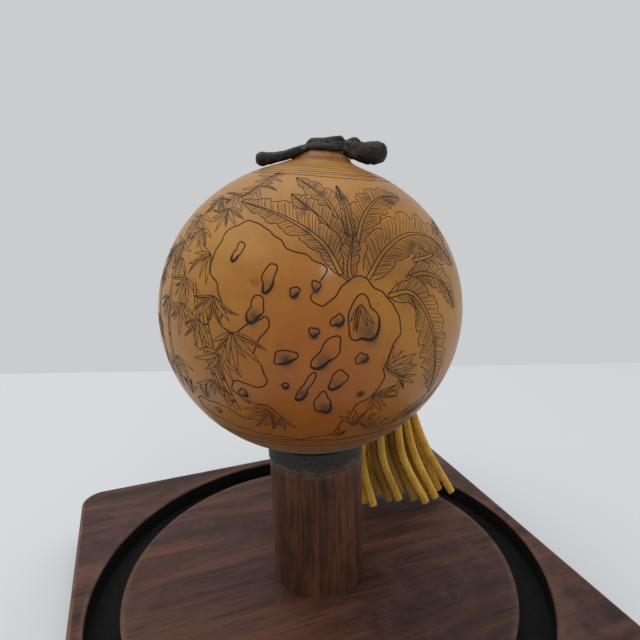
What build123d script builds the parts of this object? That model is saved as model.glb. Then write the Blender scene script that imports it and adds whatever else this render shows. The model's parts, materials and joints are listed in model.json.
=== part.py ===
from build123d import *
from math import cos, radians, sin, sqrt, tan
import os

# A round carved gourd with a stalk-shaped stopper and a tassel, on a square stand with a turned post.
# Millimetres, +Z up. The origin is the middle of the stand's underside.

os.makedirs("parts", exist_ok=True)

# Stand
base_side = 116.0
base_thickness = 14.0
base_corner = 6.0
base_edge = 1.2
groove_margin = 3.6
groove_width = 7.5
groove_depth = 5.0
groove_edge = 0.5
post_radius = 10.7
post_height = 31.6
post_edge = 0.4
tenon_radius = 6.0
tenon_length = 9.0
tenon_fit = 0.05
spigot_radius = 5.4
spigot_top_gap = 1.7

# Seat between the post and the gourd
ring_overhang = 0.2
ring_rim = 1.6
ring_edge = 0.5
ring_fit = 0.1
seat_rise = 3.9
seat_gap = 0.3

# Gourd: it stands turned on the base, and its mouth leans from the upright
gourd_radius = 32.0
gourd_half_height = 30.8
gourd_wall = 2.6
display_turn = -17.0
mouth_lean = 5.8
mouth_radius = 4.4

# Collar in the mouth
collar_radius = 6.05
collar_lip = 0.35
collar_top_radius = 3.9
collar_height = 2.6
collar_seat_margin = 0.4
collar_fit = 0.05
collar_spigot_length = 2.4
bulge_share = 0.125

# Stopper
plug_radius = 2.9
plug_fit = 0.1
plug_length = 4.6
dowel_radius = 1.0
dowel_length = 3.2
cap_gap = 0.1
cap_radius = 3.3
cap_edge = 0.45
cap_rise = 0.9
neck_radius = 1.5
knob_gap = 0.13
stalk_gap = 0.35

# Cord and tassel
cord_diameter = 0.8
bend_share = 0.45
loop_fit = 0.15
loop_rest = 0.08
knot_radius = 0.65
tassel_standoff = 3.4
tassel_azimuth = 56.3
tassel_drop = 8.0
cord_hang = 4.0
crown_radius = 1.4
ball_radius = 3.9
ball_depth = 3.9
ball_to_waist = 2.5
waist_radius = 3.4
waist_height = 2.6
foot_height = 2.5
binding_fit = 0.02
binding_thickness = 0.7
binding_edge = 0.3
strand_diameter = 2.2
strand_gap = 0.25
strand_rows = 5
strand_end_gap = 2.1
strand_drift_right = 5.4
strand_drift_front = 3.3

# Directions of the turned gourd: right is along the stalk, back is away from the picture side
turn = radians(display_turn)
lean = radians(mouth_lean)
up = Vector(0, 0, 1)
right = Vector(cos(turn), sin(turn), 0)
back = Vector(-sin(turn), cos(turn), 0)
mouth_axis = right * sin(lean) + up * cos(lean)
along = right * cos(lean) - up * sin(lean)

# Levels
groove_outer_radius = base_side / 2 - groove_margin
post_top = base_thickness + post_height
spigot_height = seat_rise - spigot_top_gap
ring_radius = post_radius + ring_overhang
seat_radius = ring_radius - ring_rim
gourd_centre = up * (post_top + seat_rise + gourd_half_height)
seat_depth = gourd_half_height * (1 - sqrt(1 - (seat_radius / gourd_radius) ** 2))
ring_height = seat_rise + seat_depth - seat_gap
mouth_reach = sqrt((gourd_radius * sin(lean)) ** 2 + (gourd_half_height * cos(lean)) ** 2)
mouth_seat_radius = collar_radius + collar_seat_margin
mouth_height = mouth_reach * sqrt(1 - (mouth_seat_radius / gourd_radius) ** 2)
cap_level = collar_height + cap_gap
cap_top = cap_level + cap_rise
bore_radius = plug_radius + plug_fit
loop_radius = neck_radius + loop_fit + cord_diameter / 2
cap_slope = (cap_rise - cap_edge) / (cap_radius - neck_radius)
loop_level = cap_top - cap_slope * (loop_radius - neck_radius) + cord_diameter / 2 + loop_rest
loop_top = loop_level + cord_diameter / 2
waist_top = ball_depth + ball_to_waist
waist_bottom = waist_top + waist_height
head_length = waist_bottom + foot_height
strand_pitch = strand_diameter + strand_gap

# Planes and axes. In a section plane x is the radius and y the height.
mouth_plane = Plane(origin=gourd_centre + mouth_axis * mouth_height, x_dir=along, z_dir=mouth_axis)
mouth_section = Plane(origin=mouth_plane.origin, x_dir=along, z_dir=-back)
mouth_line = Axis(mouth_plane.origin, mouth_axis)
gourd_section = Plane(origin=gourd_centre, x_dir=(1, 0, 0), z_dir=(0, -1, 0))
gourd_line = Axis(gourd_centre, (0, 0, 1))


def gourd_half(room):
    """Right half of the gourd's outline, grown by room, ready to revolve."""
    box_side = 4 * (gourd_radius + gourd_half_height)
    with BuildSketch(gourd_section) as half:
        Ellipse(gourd_radius + room, gourd_half_height + room)
        Rectangle(box_side, box_side, align=(Align.MAX, Align.CENTER), mode=Mode.SUBTRACT)
    return half.sketch


def finish(piece, name):
    """Label a finished piece and write it."""
    piece.part.label = name
    export_step(piece.part, f"parts/{name}.step")


# Base: a slab with a ring groove and a blind mortise
with BuildPart() as base_block:
    with BuildSketch():
        RectangleRounded(base_side, base_side, base_corner)
    extrude(amount=base_thickness)
    fillet(base_block.faces().sort_by(Axis.Z)[-1].edges(), base_edge)
    with BuildSketch(Plane.XY.offset(base_thickness)):
        Circle(groove_outer_radius)
        Circle(groove_outer_radius - groove_width, mode=Mode.SUBTRACT)
    extrude(amount=-groove_depth, mode=Mode.SUBTRACT)
    top_circles = base_block.edges().filter_by(GeomType.CIRCLE).group_by(Axis.Z)[-1]
    fillet(top_circles.filter_by(lambda edge: edge.radius > groove_outer_radius / 2), groove_edge)
    with BuildSketch(Plane.XY.offset(base_thickness)):
        Circle(tenon_radius + tenon_fit)
    extrude(amount=-tenon_length, mode=Mode.SUBTRACT)
finish(base_block, "base_block")

# Post: tenon, turned shaft and the spigot that the seat turns on
with BuildPart() as post:
    with BuildSketch(Plane.XY.offset(base_thickness)):
        Circle(post_radius)
    extrude(amount=post_height)
    chamfer(post.edges().group_by(Axis.Z)[-1], post_edge)
    with BuildSketch(Plane.XY.offset(base_thickness)):
        Circle(tenon_radius)
    extrude(amount=-tenon_length)
    with BuildSketch(Plane.XY.offset(post_top)):
        Circle(spigot_radius)
    extrude(amount=spigot_height)
finish(post, "post")

# Seat: a ring hollowed to the gourd's belly
with BuildPart() as seat_ring:
    with BuildSketch(Plane.XY.offset(post_top)):
        Circle(ring_radius)
    extrude(amount=ring_height)
    fillet(seat_ring.edges().group_by(Axis.Z)[-1], ring_edge)
    with BuildSketch(Plane.XY.offset(post_top)):
        Circle(spigot_radius + ring_fit)
    extrude(amount=ring_height, mode=Mode.SUBTRACT)
    revolve(gourd_half(seat_gap), axis=gourd_line, mode=Mode.SUBTRACT)
finish(seat_ring, "seat_ring")

# Gourd: a hollow shell, cut flat where the collar sits and bored for its spigot
with BuildPart() as gourd_shell:
    revolve(gourd_half(0), axis=gourd_line)
    revolve(gourd_half(-gourd_wall), axis=gourd_line, mode=Mode.SUBTRACT)
    with BuildSketch(mouth_plane):
        Circle(gourd_radius)
    extrude(amount=gourd_half_height, mode=Mode.SUBTRACT)
    with BuildSketch(mouth_plane):
        Circle(mouth_radius)
    extrude(amount=-3 * gourd_wall, mode=Mode.SUBTRACT)
finish(gourd_shell, "gourd_shell")

# Collar: a low ring with a spigot in the mouth and a bore for the plug
collar_bulge = bulge_share * (collar_radius - collar_top_radius)


def collar_shoulder(room, top):
    """Start, middle and end of the collar's domed side, moved out by room and ending at the height top."""
    middle_radius = (collar_radius + collar_top_radius) / 2 + collar_bulge + room
    middle_height = (collar_lip + collar_height) / 2 + collar_bulge + room
    return (collar_radius + room, collar_lip), (middle_radius, middle_height), (collar_top_radius + room, top)


with BuildPart() as mouth_collar:
    with BuildSketch(mouth_section):
        with BuildLine():
            spigot_side = mouth_radius - collar_fit
            outside = Polyline(
                (bore_radius, -collar_spigot_length),
                (spigot_side, -collar_spigot_length),
                (spigot_side, 0),
                (collar_radius, 0),
                (collar_radius, collar_lip),
            )
            shoulder = ThreePointArc(*collar_shoulder(0, collar_height))
            Polyline(shoulder @ 1, (bore_radius, collar_height), outside @ 0)
        make_face()
    revolve(axis=mouth_line)
finish(mouth_collar, "mouth_collar")

# Finial: a lens-shaped cap with a waist for the cord, and a stalk that runs across it. Each section of
# the two arms gives its distance from the cap's edge, its height over the cap's underside, its half depth
# and its half height. The knob's sections give the place along the stalk and the height over the loop.
drooping_arm = [
    (-0.8, 0.32, 1.2, 0.40),
    (0.5, 0.15, 1.3, 0.70),
    (2.2, -0.90, 1.4, 1.05),
    (4.2, -1.72, 1.4, 1.15),
    (6.2, -2.28, 1.5, 1.25),
    (8.7, -2.68, 1.6, 1.40),
    (10.1, -2.65, 0.9, 0.75),
]
cut_arm = [
    (-0.7, 0.40, 1.2, 0.45),
    (0.1, 0.60, 1.2, 0.90),
    (0.9, 1.15, 1.4, 1.35),
    (1.9, 1.10, 1.6, 1.65),
    (3.5, 0.35, 1.9, 1.80),
    (5.7, 0.25, 2.2, 2.15),
    (8.1, 0.40, 2.2, 2.10),
    (9.4, 0.20, 1.4, 1.30),
]
knob = [
    (-3.2, 0.40, 0.5, 0.25),
    (-2.4, 0.44, 1.4, 0.44),
    (0.0, 0.55, 1.9, 0.55),
    (2.2, 0.60, 1.7, 0.58),
    (3.1, 0.50, 0.6, 0.30),
]
arm_sections = {
    side: [(side * (cap_radius + out), cap_level + height, *oval) for out, height, *oval in arm]
    for side, arm in ((-1, drooping_arm), (1, cut_arm))
}
knob_base = loop_top + knob_gap
neck_top = knob_base + min(half_height for *_, half_height in knob)
knob_sections = [(place, knob_base + height, *oval) for place, height, *oval in knob]


def stalk_ovals(sections):
    """Oval faces across the stalk, ready to loft."""
    ovals = []
    for place, height, half_depth, half_height in sections:
        middle = mouth_plane.origin + along * place + mouth_axis * height
        with BuildSketch(Plane(origin=middle, x_dir=back, z_dir=along)) as oval:
            Ellipse(half_depth, half_height)
        ovals.append(oval.sketch)
    return ovals


with BuildPart() as stem_finial:
    for sections in arm_sections.values():
        loft(stalk_ovals(sections))
    with BuildSketch(mouth_section):
        with BuildLine():
            Polyline(
                (0, cap_level),
                (cap_radius, cap_level),
                (cap_radius, cap_level + cap_edge),
                (neck_radius, cap_top),
                (neck_radius, neck_top),
                (0, neck_top),
                close=True,
            )
        make_face()
    revolve(axis=mouth_line)
    loft(stalk_ovals(knob_sections))
    with BuildSketch(mouth_section):
        with BuildLine():
            room_side = ThreePointArc(*collar_shoulder(stalk_gap, cap_level))
            Polyline(
                room_side @ 1,
                (dowel_radius, cap_level),
                (dowel_radius, -gourd_wall),
                (collar_radius + stalk_gap, -gourd_wall),
                room_side @ 0,
            )
        make_face()
    revolve(axis=mouth_line, mode=Mode.SUBTRACT)
    revolve(gourd_half(stalk_gap), axis=gourd_line, mode=Mode.SUBTRACT)
    with BuildSketch(mouth_plane.offset(cap_level)):
        Circle(dowel_radius)
    extrude(amount=-dowel_length)
finish(stem_finial, "stem_finial")

# Plug: a cork on the finial's dowel
with BuildPart() as stopper_plug:
    with BuildSketch(mouth_plane.offset(cap_level)):
        Circle(plug_radius)
    extrude(amount=-plug_length)
    with BuildSketch(mouth_plane.offset(cap_level)):
        Circle(dowel_radius)
    extrude(amount=-dowel_length, mode=Mode.SUBTRACT)
finish(stopper_plug, "stopper_plug")

# The cord leaves the loop at the back, lies on the gourd and then hangs to the tassel. Its points on the
# gourd are given as degrees from the mouth's axis and distance outside the gourd's radius.
drape = [(22, 1.9), (37, 0.8), (52, 0.8), (67, 1.1), (82, 1.3)]
tassel_reach = gourd_radius + tassel_standoff
tassel_angle = radians(tassel_azimuth)
tassel_top = (
    gourd_centre
    + (right * cos(tassel_angle) + back * sin(tassel_angle)) * tassel_reach
    - up * tassel_drop
)
hang_line = tassel_top - gourd_centre
hang_side = (hang_line - mouth_axis * hang_line.dot(mouth_axis)).normalized()
loop_point = mouth_plane.origin + mouth_axis * loop_level + hang_side * loop_radius
drape_points = [
    gourd_centre
    + (mouth_axis * cos(radians(angle)) + hang_side * sin(radians(angle))) * (gourd_radius + outside)
    for angle, outside in drape
]
cord_start_line = (drape_points[0] - loop_point).normalized()
knot_length = cap_radius - loop_radius + 2 * knot_radius
cord_start = loop_point + cord_start_line * knot_length
cord_points = [cord_start, *drape_points, tassel_top + up * cord_hang, tassel_top]


def bend_radii(points):
    """Bend radius at each inner point: as large as the two runs beside it allow."""
    radii = []
    for before, corner, after in zip(points, points[1:], points[2:]):
        turn_angle = radians((corner - before).get_angle(after - corner))
        shorter_run = min((corner - before).length, (after - corner).length)
        radii.append(bend_share * shorter_run / tan(turn_angle / 2))
    return radii


def tube(points, diameter):
    """Sweep a round section along straight runs joined by arcs."""
    with BuildLine() as route:
        FilletPolyline(*points, radius=bend_radii(points))
    with BuildSketch(Plane(origin=points[0], z_dir=points[1] - points[0])) as section:
        Circle(diameter / 2)
    sweep(section.sketch, path=route.line)


# Loop: a ring round the finial's waist, drawn together into a knot
knot_stations = [
    (0.0, cord_diameter / 2),
    (knot_length - 2 * knot_radius, cord_diameter / 2),
    (knot_length - knot_radius, knot_radius),
    (knot_length, cord_diameter / 2),
]
with BuildPart() as cord_loop:
    with Locations(mouth_plane.offset(loop_level).location):
        Torus(loop_radius, cord_diameter / 2)
    for station, knot_size in knot_stations:
        with BuildSketch(Plane(origin=loop_point + cord_start_line * station, z_dir=cord_start_line)):
            Circle(knot_size)
    loft(ruled=True)
finish(cord_loop, "cord_loop")

with BuildPart() as hanging_cord:
    tube(cord_points, cord_diameter)
finish(hanging_cord, "hanging_cord")
print("hanging_cord bend radii", [round(radius, 1) for radius in bend_radii(cord_points)])

# Tassel head: a ball, a waist for the binding and a foot as wide as the bundle of strands
bundle_radius = (strand_rows - 1) / 2 * strand_pitch + strand_diameter / 2
head_section = Plane(origin=tassel_top, x_dir=right, z_dir=-back)
head_line = Axis(tassel_top, (0, 0, 1))
with BuildPart() as tassel_head:
    with BuildSketch(head_section):
        with BuildLine():
            crown = Line((0, 0), (crown_radius, 0))
            upper = TangentArc((ball_radius, -ball_depth), crown @ 1, tangent=(0, 1))
            Polyline(
                upper @ 0,
                (waist_radius, -waist_top),
                (waist_radius, -waist_bottom),
                (bundle_radius, -head_length),
                (0, -head_length),
                crown @ 0,
            )
        make_face()
    revolve(axis=head_line)
finish(tassel_head, "tassel_head")

with BuildPart() as tassel_binding:
    with BuildSketch(Plane.XY.move(Location(tassel_top - up * waist_bottom))):
        Circle(waist_radius + binding_thickness)
        Circle(waist_radius + binding_fit, mode=Mode.SUBTRACT)
    extrude(amount=waist_height)
    rims = tassel_binding.edges().filter_by(GeomType.CIRCLE)
    fillet(rims.filter_by(lambda edge: edge.radius > waist_radius + 2 * binding_fit), binding_edge)
finish(tassel_binding, "tassel_binding")

# Strands: a round bundle under the head that widens along the stalk's direction and drifts sideways.
# Each level gives its share of the drop, the widening right and back, and its share of the drift.
strand_levels = [
    (0.0, 1.0, 1.0, 0.0),
    (0.13, 1.0, 1.0, 0.0),
    (0.37, 1.55, 1.0, 0.1),
    (0.69, 2.2, 0.95, 0.42),
    (1.0, 2.5, 0.95, 1.0),
]
bundle_foot = tassel_top - up * head_length
strand_drop = bundle_foot.Z - base_thickness - strand_end_gap
strand_drift = right * strand_drift_right - back * strand_drift_front
half_rows = strand_rows // 2
strand_places = [
    ((column - (strand_rows - abs(row) - 1) / 2) * strand_pitch, row * strand_pitch * sqrt(3) / 2)
    for row in range(-half_rows, half_rows + 1)
    for column in range(strand_rows - abs(row))
]
tightest = []
for number, (place_right, place_back) in enumerate(strand_places, start=1):
    strand_points = [
        bundle_foot
        + right * place_right * widen_right
        + back * place_back * widen_back
        + strand_drift * drift_share
        - up * strand_drop * drop_share
        for drop_share, widen_right, widen_back, drift_share in strand_levels
    ]
    with BuildPart() as tassel_strand:
        tube(strand_points, strand_diameter)
    finish(tassel_strand, f"tassel_strand_{number:02d}")
    tightest.append(round(min(bend_radii(strand_points)), 1))
print("tassel_strand tightest bends", tightest)
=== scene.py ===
"""Looks of a carved gourd on a wooden stand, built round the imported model."""

import json
import math

import bmesh
import bpy
import numpy as np
from mathutils import Matrix, Vector, noise


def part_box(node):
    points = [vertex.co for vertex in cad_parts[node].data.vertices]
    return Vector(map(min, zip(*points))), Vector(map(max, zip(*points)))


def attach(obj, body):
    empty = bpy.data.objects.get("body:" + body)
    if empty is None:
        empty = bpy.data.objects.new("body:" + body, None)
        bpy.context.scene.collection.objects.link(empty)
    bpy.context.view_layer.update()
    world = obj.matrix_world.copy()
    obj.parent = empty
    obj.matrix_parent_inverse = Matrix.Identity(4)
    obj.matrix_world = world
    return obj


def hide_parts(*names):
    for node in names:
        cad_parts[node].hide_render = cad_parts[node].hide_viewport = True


bl_info = {
    "name": "Carved Gourd on a Stand",
    "version": (1, 0, 0),
    "blender": (4, 5, 0),
    "location": "View3D > Sidebar > Gourd",
    "description": "Builds a carved gourd with its stopper, its tassel and its wooden stand",
    "category": "Add Mesh",
}

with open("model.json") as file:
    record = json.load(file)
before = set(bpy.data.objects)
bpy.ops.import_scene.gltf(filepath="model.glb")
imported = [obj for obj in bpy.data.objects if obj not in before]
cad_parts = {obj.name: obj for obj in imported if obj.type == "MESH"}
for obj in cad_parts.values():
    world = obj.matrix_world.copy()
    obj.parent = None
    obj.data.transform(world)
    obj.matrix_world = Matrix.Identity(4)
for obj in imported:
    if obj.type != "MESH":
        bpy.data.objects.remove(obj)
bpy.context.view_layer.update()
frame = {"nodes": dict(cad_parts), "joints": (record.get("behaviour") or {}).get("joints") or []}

MM = 0.001
JOINTS = {joint["name"]: joint for joint in frame["joints"]}
STRANDS = sorted(name for name in frame["nodes"] if name.startswith("tassel_strand_"))


def unit(vector):
    """A direction of length 1."""
    return vector / np.linalg.norm(vector)


# Directions of the turned gourd: right is along the stalk, back is away from the picture side
UP = np.array([0.0, 0.0, 1.0])
MOUTH_AXIS = unit(np.array(JOINTS["stopper_pull"]["axis"]))
RIGHT = unit(MOUTH_AXIS * (1, 1, 0))
BACK = np.cross(UP, RIGHT)
ALONG = np.cross(BACK, MOUTH_AXIS)
MOUTH = np.array(JOINTS["tassel_swing"]["pos_m"]) / MM
# Points closer than this many metres are one
MERGE = 1e-7


def colour(red, green, blue):
    """Linear colour from 8-bit values."""
    parts = (part / 255 for part in (red, green, blue))
    return (*(part / 12.92 if part <= 0.04045 else ((part + 0.055) / 1.055) ** 2.4 for part in parts), 1.0)


def number(name, description, default, **kind):
    """A property that holds a number."""
    return bpy.props.FloatProperty(name=name, description=description, default=default, **kind)


def length(name, description, millimetres):
    """A property that holds a length."""
    return number(name, description, millimetres * MM, unit="LENGTH", precision=5)


def turning(name, description, degrees):
    """A property that holds an angle."""
    return number(name, description, math.radians(degrees), subtype="ANGLE")


def tint(name, description, *rgb):
    """A property that holds a colour."""
    return bpy.props.FloatVectorProperty(
        name=name, description=description, default=colour(*rgb), subtype="COLOR", size=4, min=0, max=1
    )


class StandSettings(bpy.types.PropertyGroup):
    """Sizes and colours of the stand."""

    groove_inner: length("Groove inside", "Inner radius of the ring groove", 46.9)
    groove_outer: length("Groove outside", "Outer radius of the ring groove", 54.4)
    groove_floor: length("Groove floor", "Height of the groove's floor", 9.0)
    corner: length("Corner", "Radius of the base's corners", 6.0)
    edge: length("Edge", "Radius of the base's upper edge", 1.2)
    base_colour: tint("Base", "Colour of the base's wood", 104, 66, 52)
    base_streak: tint("Base streaks", "Colour of the dark streaks in the base", 60, 38, 31)
    post_colour: tint("Post", "Colour of the post's wood", 106, 67, 50)
    post_streak: tint("Post streaks", "Colour of the dark streaks in the post", 68, 44, 34)
    groove_colour: tint("Groove", "Colour of the stained groove", 18, 17, 16)
    seat_colour: tint("Seat", "Colour of the seat ring's leather", 38, 34, 31)


class GourdSettings(bpy.types.PropertyGroup):
    """Sizes and colours of the gourd and its picture."""

    radius: length("Radius", "Half the gourd's width", 32.0)
    half_height: length("Half height", "Half the gourd's height", 30.8)
    wall: length("Wall", "Thickness of the gourd's wall", 2.6)
    bore: length("Bore", "Radius of the gourd's mouth", 4.4)
    picture_turn: turning("Picture turn", "Turn of the picture round the gourd", -1.2)
    picture_lean: turning("Picture lean", "Lean of the picture to its left", 1.4)
    line_width: length("Line width", "Width of an engraved line", 0.19)
    line_depth: length("Line depth", "Thickness of the ink", 0.04)
    line_rise: length("Line rise", "How far the ink's middle stands over the skin", 0.008)
    skin_light: tint("Light skin", "Colour of the pale skin", 186, 133, 48)
    skin_deep: tint("Deep skin", "Colour of the deep skin", 158, 101, 33)
    # The brown is also laid low on the gourd and at its foot as painted shade
    skin_brown_and_shade: tint("Brown skin", "Colour of the skin under the rubbed brown", 150, 71, 8)
    ink_colour: tint("Ink", "Colour of the engraved lines", 42, 26, 14)
    collar_colour: tint("Collar", "Colour of the collar", 142, 93, 34)
    stalk_colour: tint("Stalk", "Colour of the black stalk", 14, 13, 12)


class TasselSettings(bpy.types.PropertyGroup):
    """Sizes and colours of the cord and the tassel."""

    cord_diameter: length("Cord", "Diameter of the hanging cord", 0.8)
    strand_diameter: length("Strand", "Diameter of a strand of the skirt", 2.3)
    strand_pitch: length("Strand pitch", "Distance between the strands in the bundle", 2.45)
    thread_diameter: length("Thread", "Diameter of the threads on the head", 0.9)
    loop_level: length("Loop level", "Height of the loop over the mouth", 3.9425)
    loop_radius: length("Loop radius", "Radius of the loop's middle line", 2.05)
    knot_length: length("Knot length", "From the loop to the end of the knot", 2.55)
    knot_radius: length("Knot radius", "Half the knot's width", 0.65)
    gold_light: tint("Light gold", "Colour of the silk where it is bright", 254, 208, 88)
    gold_deep: tint("Deep gold", "Colour of the silk in its folds", 198, 138, 40)


class StageSettings(bpy.types.PropertyGroup):
    """Camera, floor and light."""

    lens: number("Lens", "Focal length of the camera", 30.42, unit="CAMERA")
    camera_place: bpy.props.FloatVectorProperty(
        name="Camera place", description="Where the camera stands", default=(-0.03595, -0.10921, 0.10718),
        subtype="TRANSLATION", unit="LENGTH",
    )
    camera_turn: turning("Camera turn", "Turn of the camera round the upright", -19.15)
    camera_tilt: turning("Camera tilt", "Tilt of the camera from looking straight down", 75.48)
    camera_roll: turning("Camera roll", "Roll of the camera round its view", -1.55)
    floor_turn: turning("Floor turn", "Turn of the floor's far edge", -20.8)
    floor_reach: length("Floor reach", "From the stand's middle to the floor's far edge", 186.0)
    floor_colour: tint("Floor", "Colour of the floor and backdrop", 226, 229, 231)
    sky: number("Sky", "Strength of the light from all round", 0.62)
    sky_colour: tint("Sky colour", "Colour of the light from all round", 250, 252, 255)
    softbox: number("Softbox", "Power of the overhead light", 2.6, unit="POWER")
    front_lamp: number("Front lamp", "Power of the lamp in front", 0.03, unit="POWER")


def in_mm(settings, *names):
    """Lengths from the settings, in millimetres."""
    return [getattr(settings, name) / MM for name in names]


def box_of(node):
    """Low and high corner of a CAD node's box, in millimetres."""
    return [np.array(corner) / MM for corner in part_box(node)]


# Meshes


def new_object(name, data):
    """An object in the scene."""
    made = bpy.data.objects.new(name, data)
    bpy.context.scene.collection.objects.link(made)
    return made


def set_values(mesh, name, values):
    """Store one number for each of a mesh's points."""
    stored = mesh.attributes.new(name, "FLOAT", "POINT")
    stored.data.foreach_set("value", np.asarray(values, np.float32).ravel())


def dress(mesh, material):
    """Shade a mesh smooth and give it its one material."""
    mesh.polygons.foreach_set("use_smooth", np.ones(len(mesh.polygons), bool))
    mesh.materials.clear()
    mesh.materials.append(material)


def new_piece(name, points, faces, material, sharp=None, **numbers):
    """A smooth mesh from points in millimetres, its doubles merged and its faces turned outwards."""
    mesh = bpy.data.meshes.new(name)
    mesh.from_pydata(np.asarray(points, float).reshape(-1, 3) * MM, [], faces)
    for key, values in numbers.items():
        set_values(mesh, key, values)
    shape = bmesh.new()
    shape.from_mesh(mesh)
    bmesh.ops.remove_doubles(shape, verts=shape.verts, dist=MERGE)
    bmesh.ops.recalc_face_normals(shape, faces=shape.faces)
    shape.to_mesh(mesh)
    shape.free()
    dress(mesh, material)
    if sharp:
        mesh.set_sharp_from_angle(angle=math.radians(sharp))
    return new_object(name, mesh)


def evaluated(source):
    """A plain mesh of what an object shows."""
    graph = bpy.context.evaluated_depsgraph_get()
    return bpy.data.meshes.new_from_object(source.evaluated_get(graph), depsgraph=graph)


def settle(piece):
    """Replace a piece's modifiers with the plain mesh that they make."""
    raw, made = piece.data, evaluated(piece)
    piece.modifiers.clear()
    piece.data = made
    bpy.data.meshes.remove(raw)
    made.name = piece.name
    return piece


def grid_faces(rows, columns):
    """Quads of a grid whose columns close into a ring."""
    row, column = np.meshgrid(np.arange(rows - 1) * columns, np.arange(columns), indexing="ij")
    after = (column + 1) % columns
    corners = (row + column, row + after, row + columns + after, row + columns + column)
    return np.stack(corners, -1).reshape(-1, 4)


def spokes(turns, across, aside):
    """Directions at angles round an axis."""
    return np.cos(turns)[..., None] * across + np.sin(turns)[..., None] * aside


def lathe(profile, steps, origin=(0, 0, 0), axes=None):
    """Points of a closed profile of radius and height turned round an axis, and their faces."""
    angles = np.arange(steps) * 2 * math.pi / steps
    across, aside, axis = axes if axes is not None else np.eye(3)
    profile = np.asarray(profile, float)
    points = np.asarray(origin) + profile[:, :1, None] * spokes(angles, across, aside)
    points = points + profile[:, 1:, None] * axis
    return points, grid_faces(len(profile), steps)


def arc(centre, radius, start, end):
    """Points of a rounded corner in a profile."""
    angles = np.radians(np.linspace(start, end, 5))
    return [(centre[0] + radius * math.cos(angle), centre[1] + radius * math.sin(angle)) for angle in angles]


def mottle(points, scale, seed=0.0):
    """Smooth random values from -1 to 1, one for each point."""
    flat = np.asarray(points, float).reshape(-1, 3) * scale + seed
    return np.array([noise.noise(Vector(point)) for point in flat]).reshape(np.shape(points)[:-1])


def mesh_points(mesh):
    """A mesh's points in millimetres."""
    points = np.empty(len(mesh.vertices) * 3)
    mesh.vertices.foreach_get("co", points)
    return points.reshape(-1, 3) / MM


def from_mouth(points):
    """Places along the stalk, towards the back and over the mouth."""
    return (points - MOUTH) @ np.stack([ALONG, BACK, MOUTH_AXIS], 1)


def finish_piece(piece, body, slot, *nodes):
    """Let a finished piece ride on its body in place of its CAD nodes."""
    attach(piece, body)
    if nodes:
        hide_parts(*nodes)
    return piece


def joined(first, *others):
    """One piece out of several."""
    with bpy.context.temp_override(active_object=first, selected_editable_objects=[first, *others]):
        bpy.ops.object.join()
    return first


# Node trees


class Nodes:
    """A node tree under construction."""

    def __init__(self, tree):
        self.tree = tree

    def feed(self, socket, value):
        """Link a socket to a result, or set its value."""
        if isinstance(value, bpy.types.NodeSocket):
            self.tree.links.new(value, socket)
        else:
            socket.default_value = value

    def add(self, kind, inputs=None, **settings):
        """Add a node with its settings and inputs, and give its outputs."""
        made = self.tree.nodes.new(kind)
        for name, value in settings.items():
            setattr(made, name, value)
        for name, value in (inputs or {}).items():
            self.feed(made.inputs[name], value)
        return made.outputs

    def maths(self, operation, first, second=0.0, third=0.0):
        """Result of a Math node."""
        return self.add("ShaderNodeMath", {0: first, 1: second, 2: third}, operation=operation)[0]

    def vectors(self, operation, first, second=(0, 0, 0), output="Vector"):
        """Result of a Vector Math node. Scale takes a number as its second input."""
        key = "Scale" if operation == "SCALE" else 1
        return self.add("ShaderNodeVectorMath", {0: first, key: second}, operation=operation)[output]

    def sum_of(self, first, share, second, rest):
        """Sum of two vectors, each times a number."""
        return self.vectors("ADD", self.vectors("SCALE", first, share), self.vectors("SCALE", second, rest))

    def mix(self, factor, first, second):
        """Colour mixed from two. The colours are inputs 6 and 7 and output 2 of the node."""
        return self.add("ShaderNodeMix", {0: factor, 6: first, 7: second}, data_type="RGBA")[2]

    def spread(self, value, low, high, start=0.0, end=1.0):
        """A value carried smoothly from one range to another."""
        inputs = {"Value": value, "From Min": low, "From Max": high, "To Min": start, "To Max": end}
        return self.add("ShaderNodeMapRange", inputs, interpolation_type="SMOOTHSTEP")["Result"]

    def speckle(self, vector, scale, detail, roughness=0.5, distortion=0.0):
        """Value of a noise texture."""
        inputs = {"Vector": vector, "Scale": scale, "Detail": detail, "Roughness": roughness}
        return self.add("ShaderNodeTexNoise", {**inputs, "Distortion": distortion})["Fac"]


def new_group(name, kind, inputs, outputs):
    """An empty node group, what its input node gives and what its output node takes."""
    group = bpy.data.node_groups.new(name, kind)
    for direction, sockets in (("INPUT", inputs), ("OUTPUT", outputs)):
        for label, sort, *default in sockets:
            made = group.interface.new_socket(label, in_out=direction, socket_type=f"NodeSocket{sort}")
            if default:
                made.default_value = default[0]
    given, made = (group.nodes.new(f"NodeGroup{end}") for end in ("Input", "Output"))
    return Nodes(group), given.outputs, made.inputs


def wood_figure():
    """Shader group: streaks and open pores of wood whose grain has been stretched beforehand."""
    if "Wood figure" in bpy.data.node_groups:
        return bpy.data.node_groups["Wood figure"]
    sockets = [("Vector", "Vector"), ("Streaks", "Float", 160.0), ("Pores", "Float", 1400.0)]
    results = [("Figure", "Float"), ("Pore", "Float"), ("Height", "Float")]
    group, given, made = new_group("Wood figure", "ShaderNodeTree", sockets, results)
    broad = group.speckle(given["Vector"], given["Streaks"], 4.0, 0.6, 0.8)
    fine = group.speckle(given["Vector"], group.maths("MULTIPLY", given["Streaks"], 5.0), 3.0, 0.6)
    figure = group.maths("MULTIPLY_ADD", fine, 0.4, group.maths("MULTIPLY", broad, 0.6))
    pore = group.spread(group.speckle(given["Vector"], given["Pores"], 1.0), 0.60, 0.70)
    group.feed(made["Figure"], group.spread(figure, 0.36, 0.64))
    group.feed(made["Pore"], pore)
    group.feed(made["Height"], group.maths("MULTIPLY_ADD", pore, -0.6, figure))
    return group.tree


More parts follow.
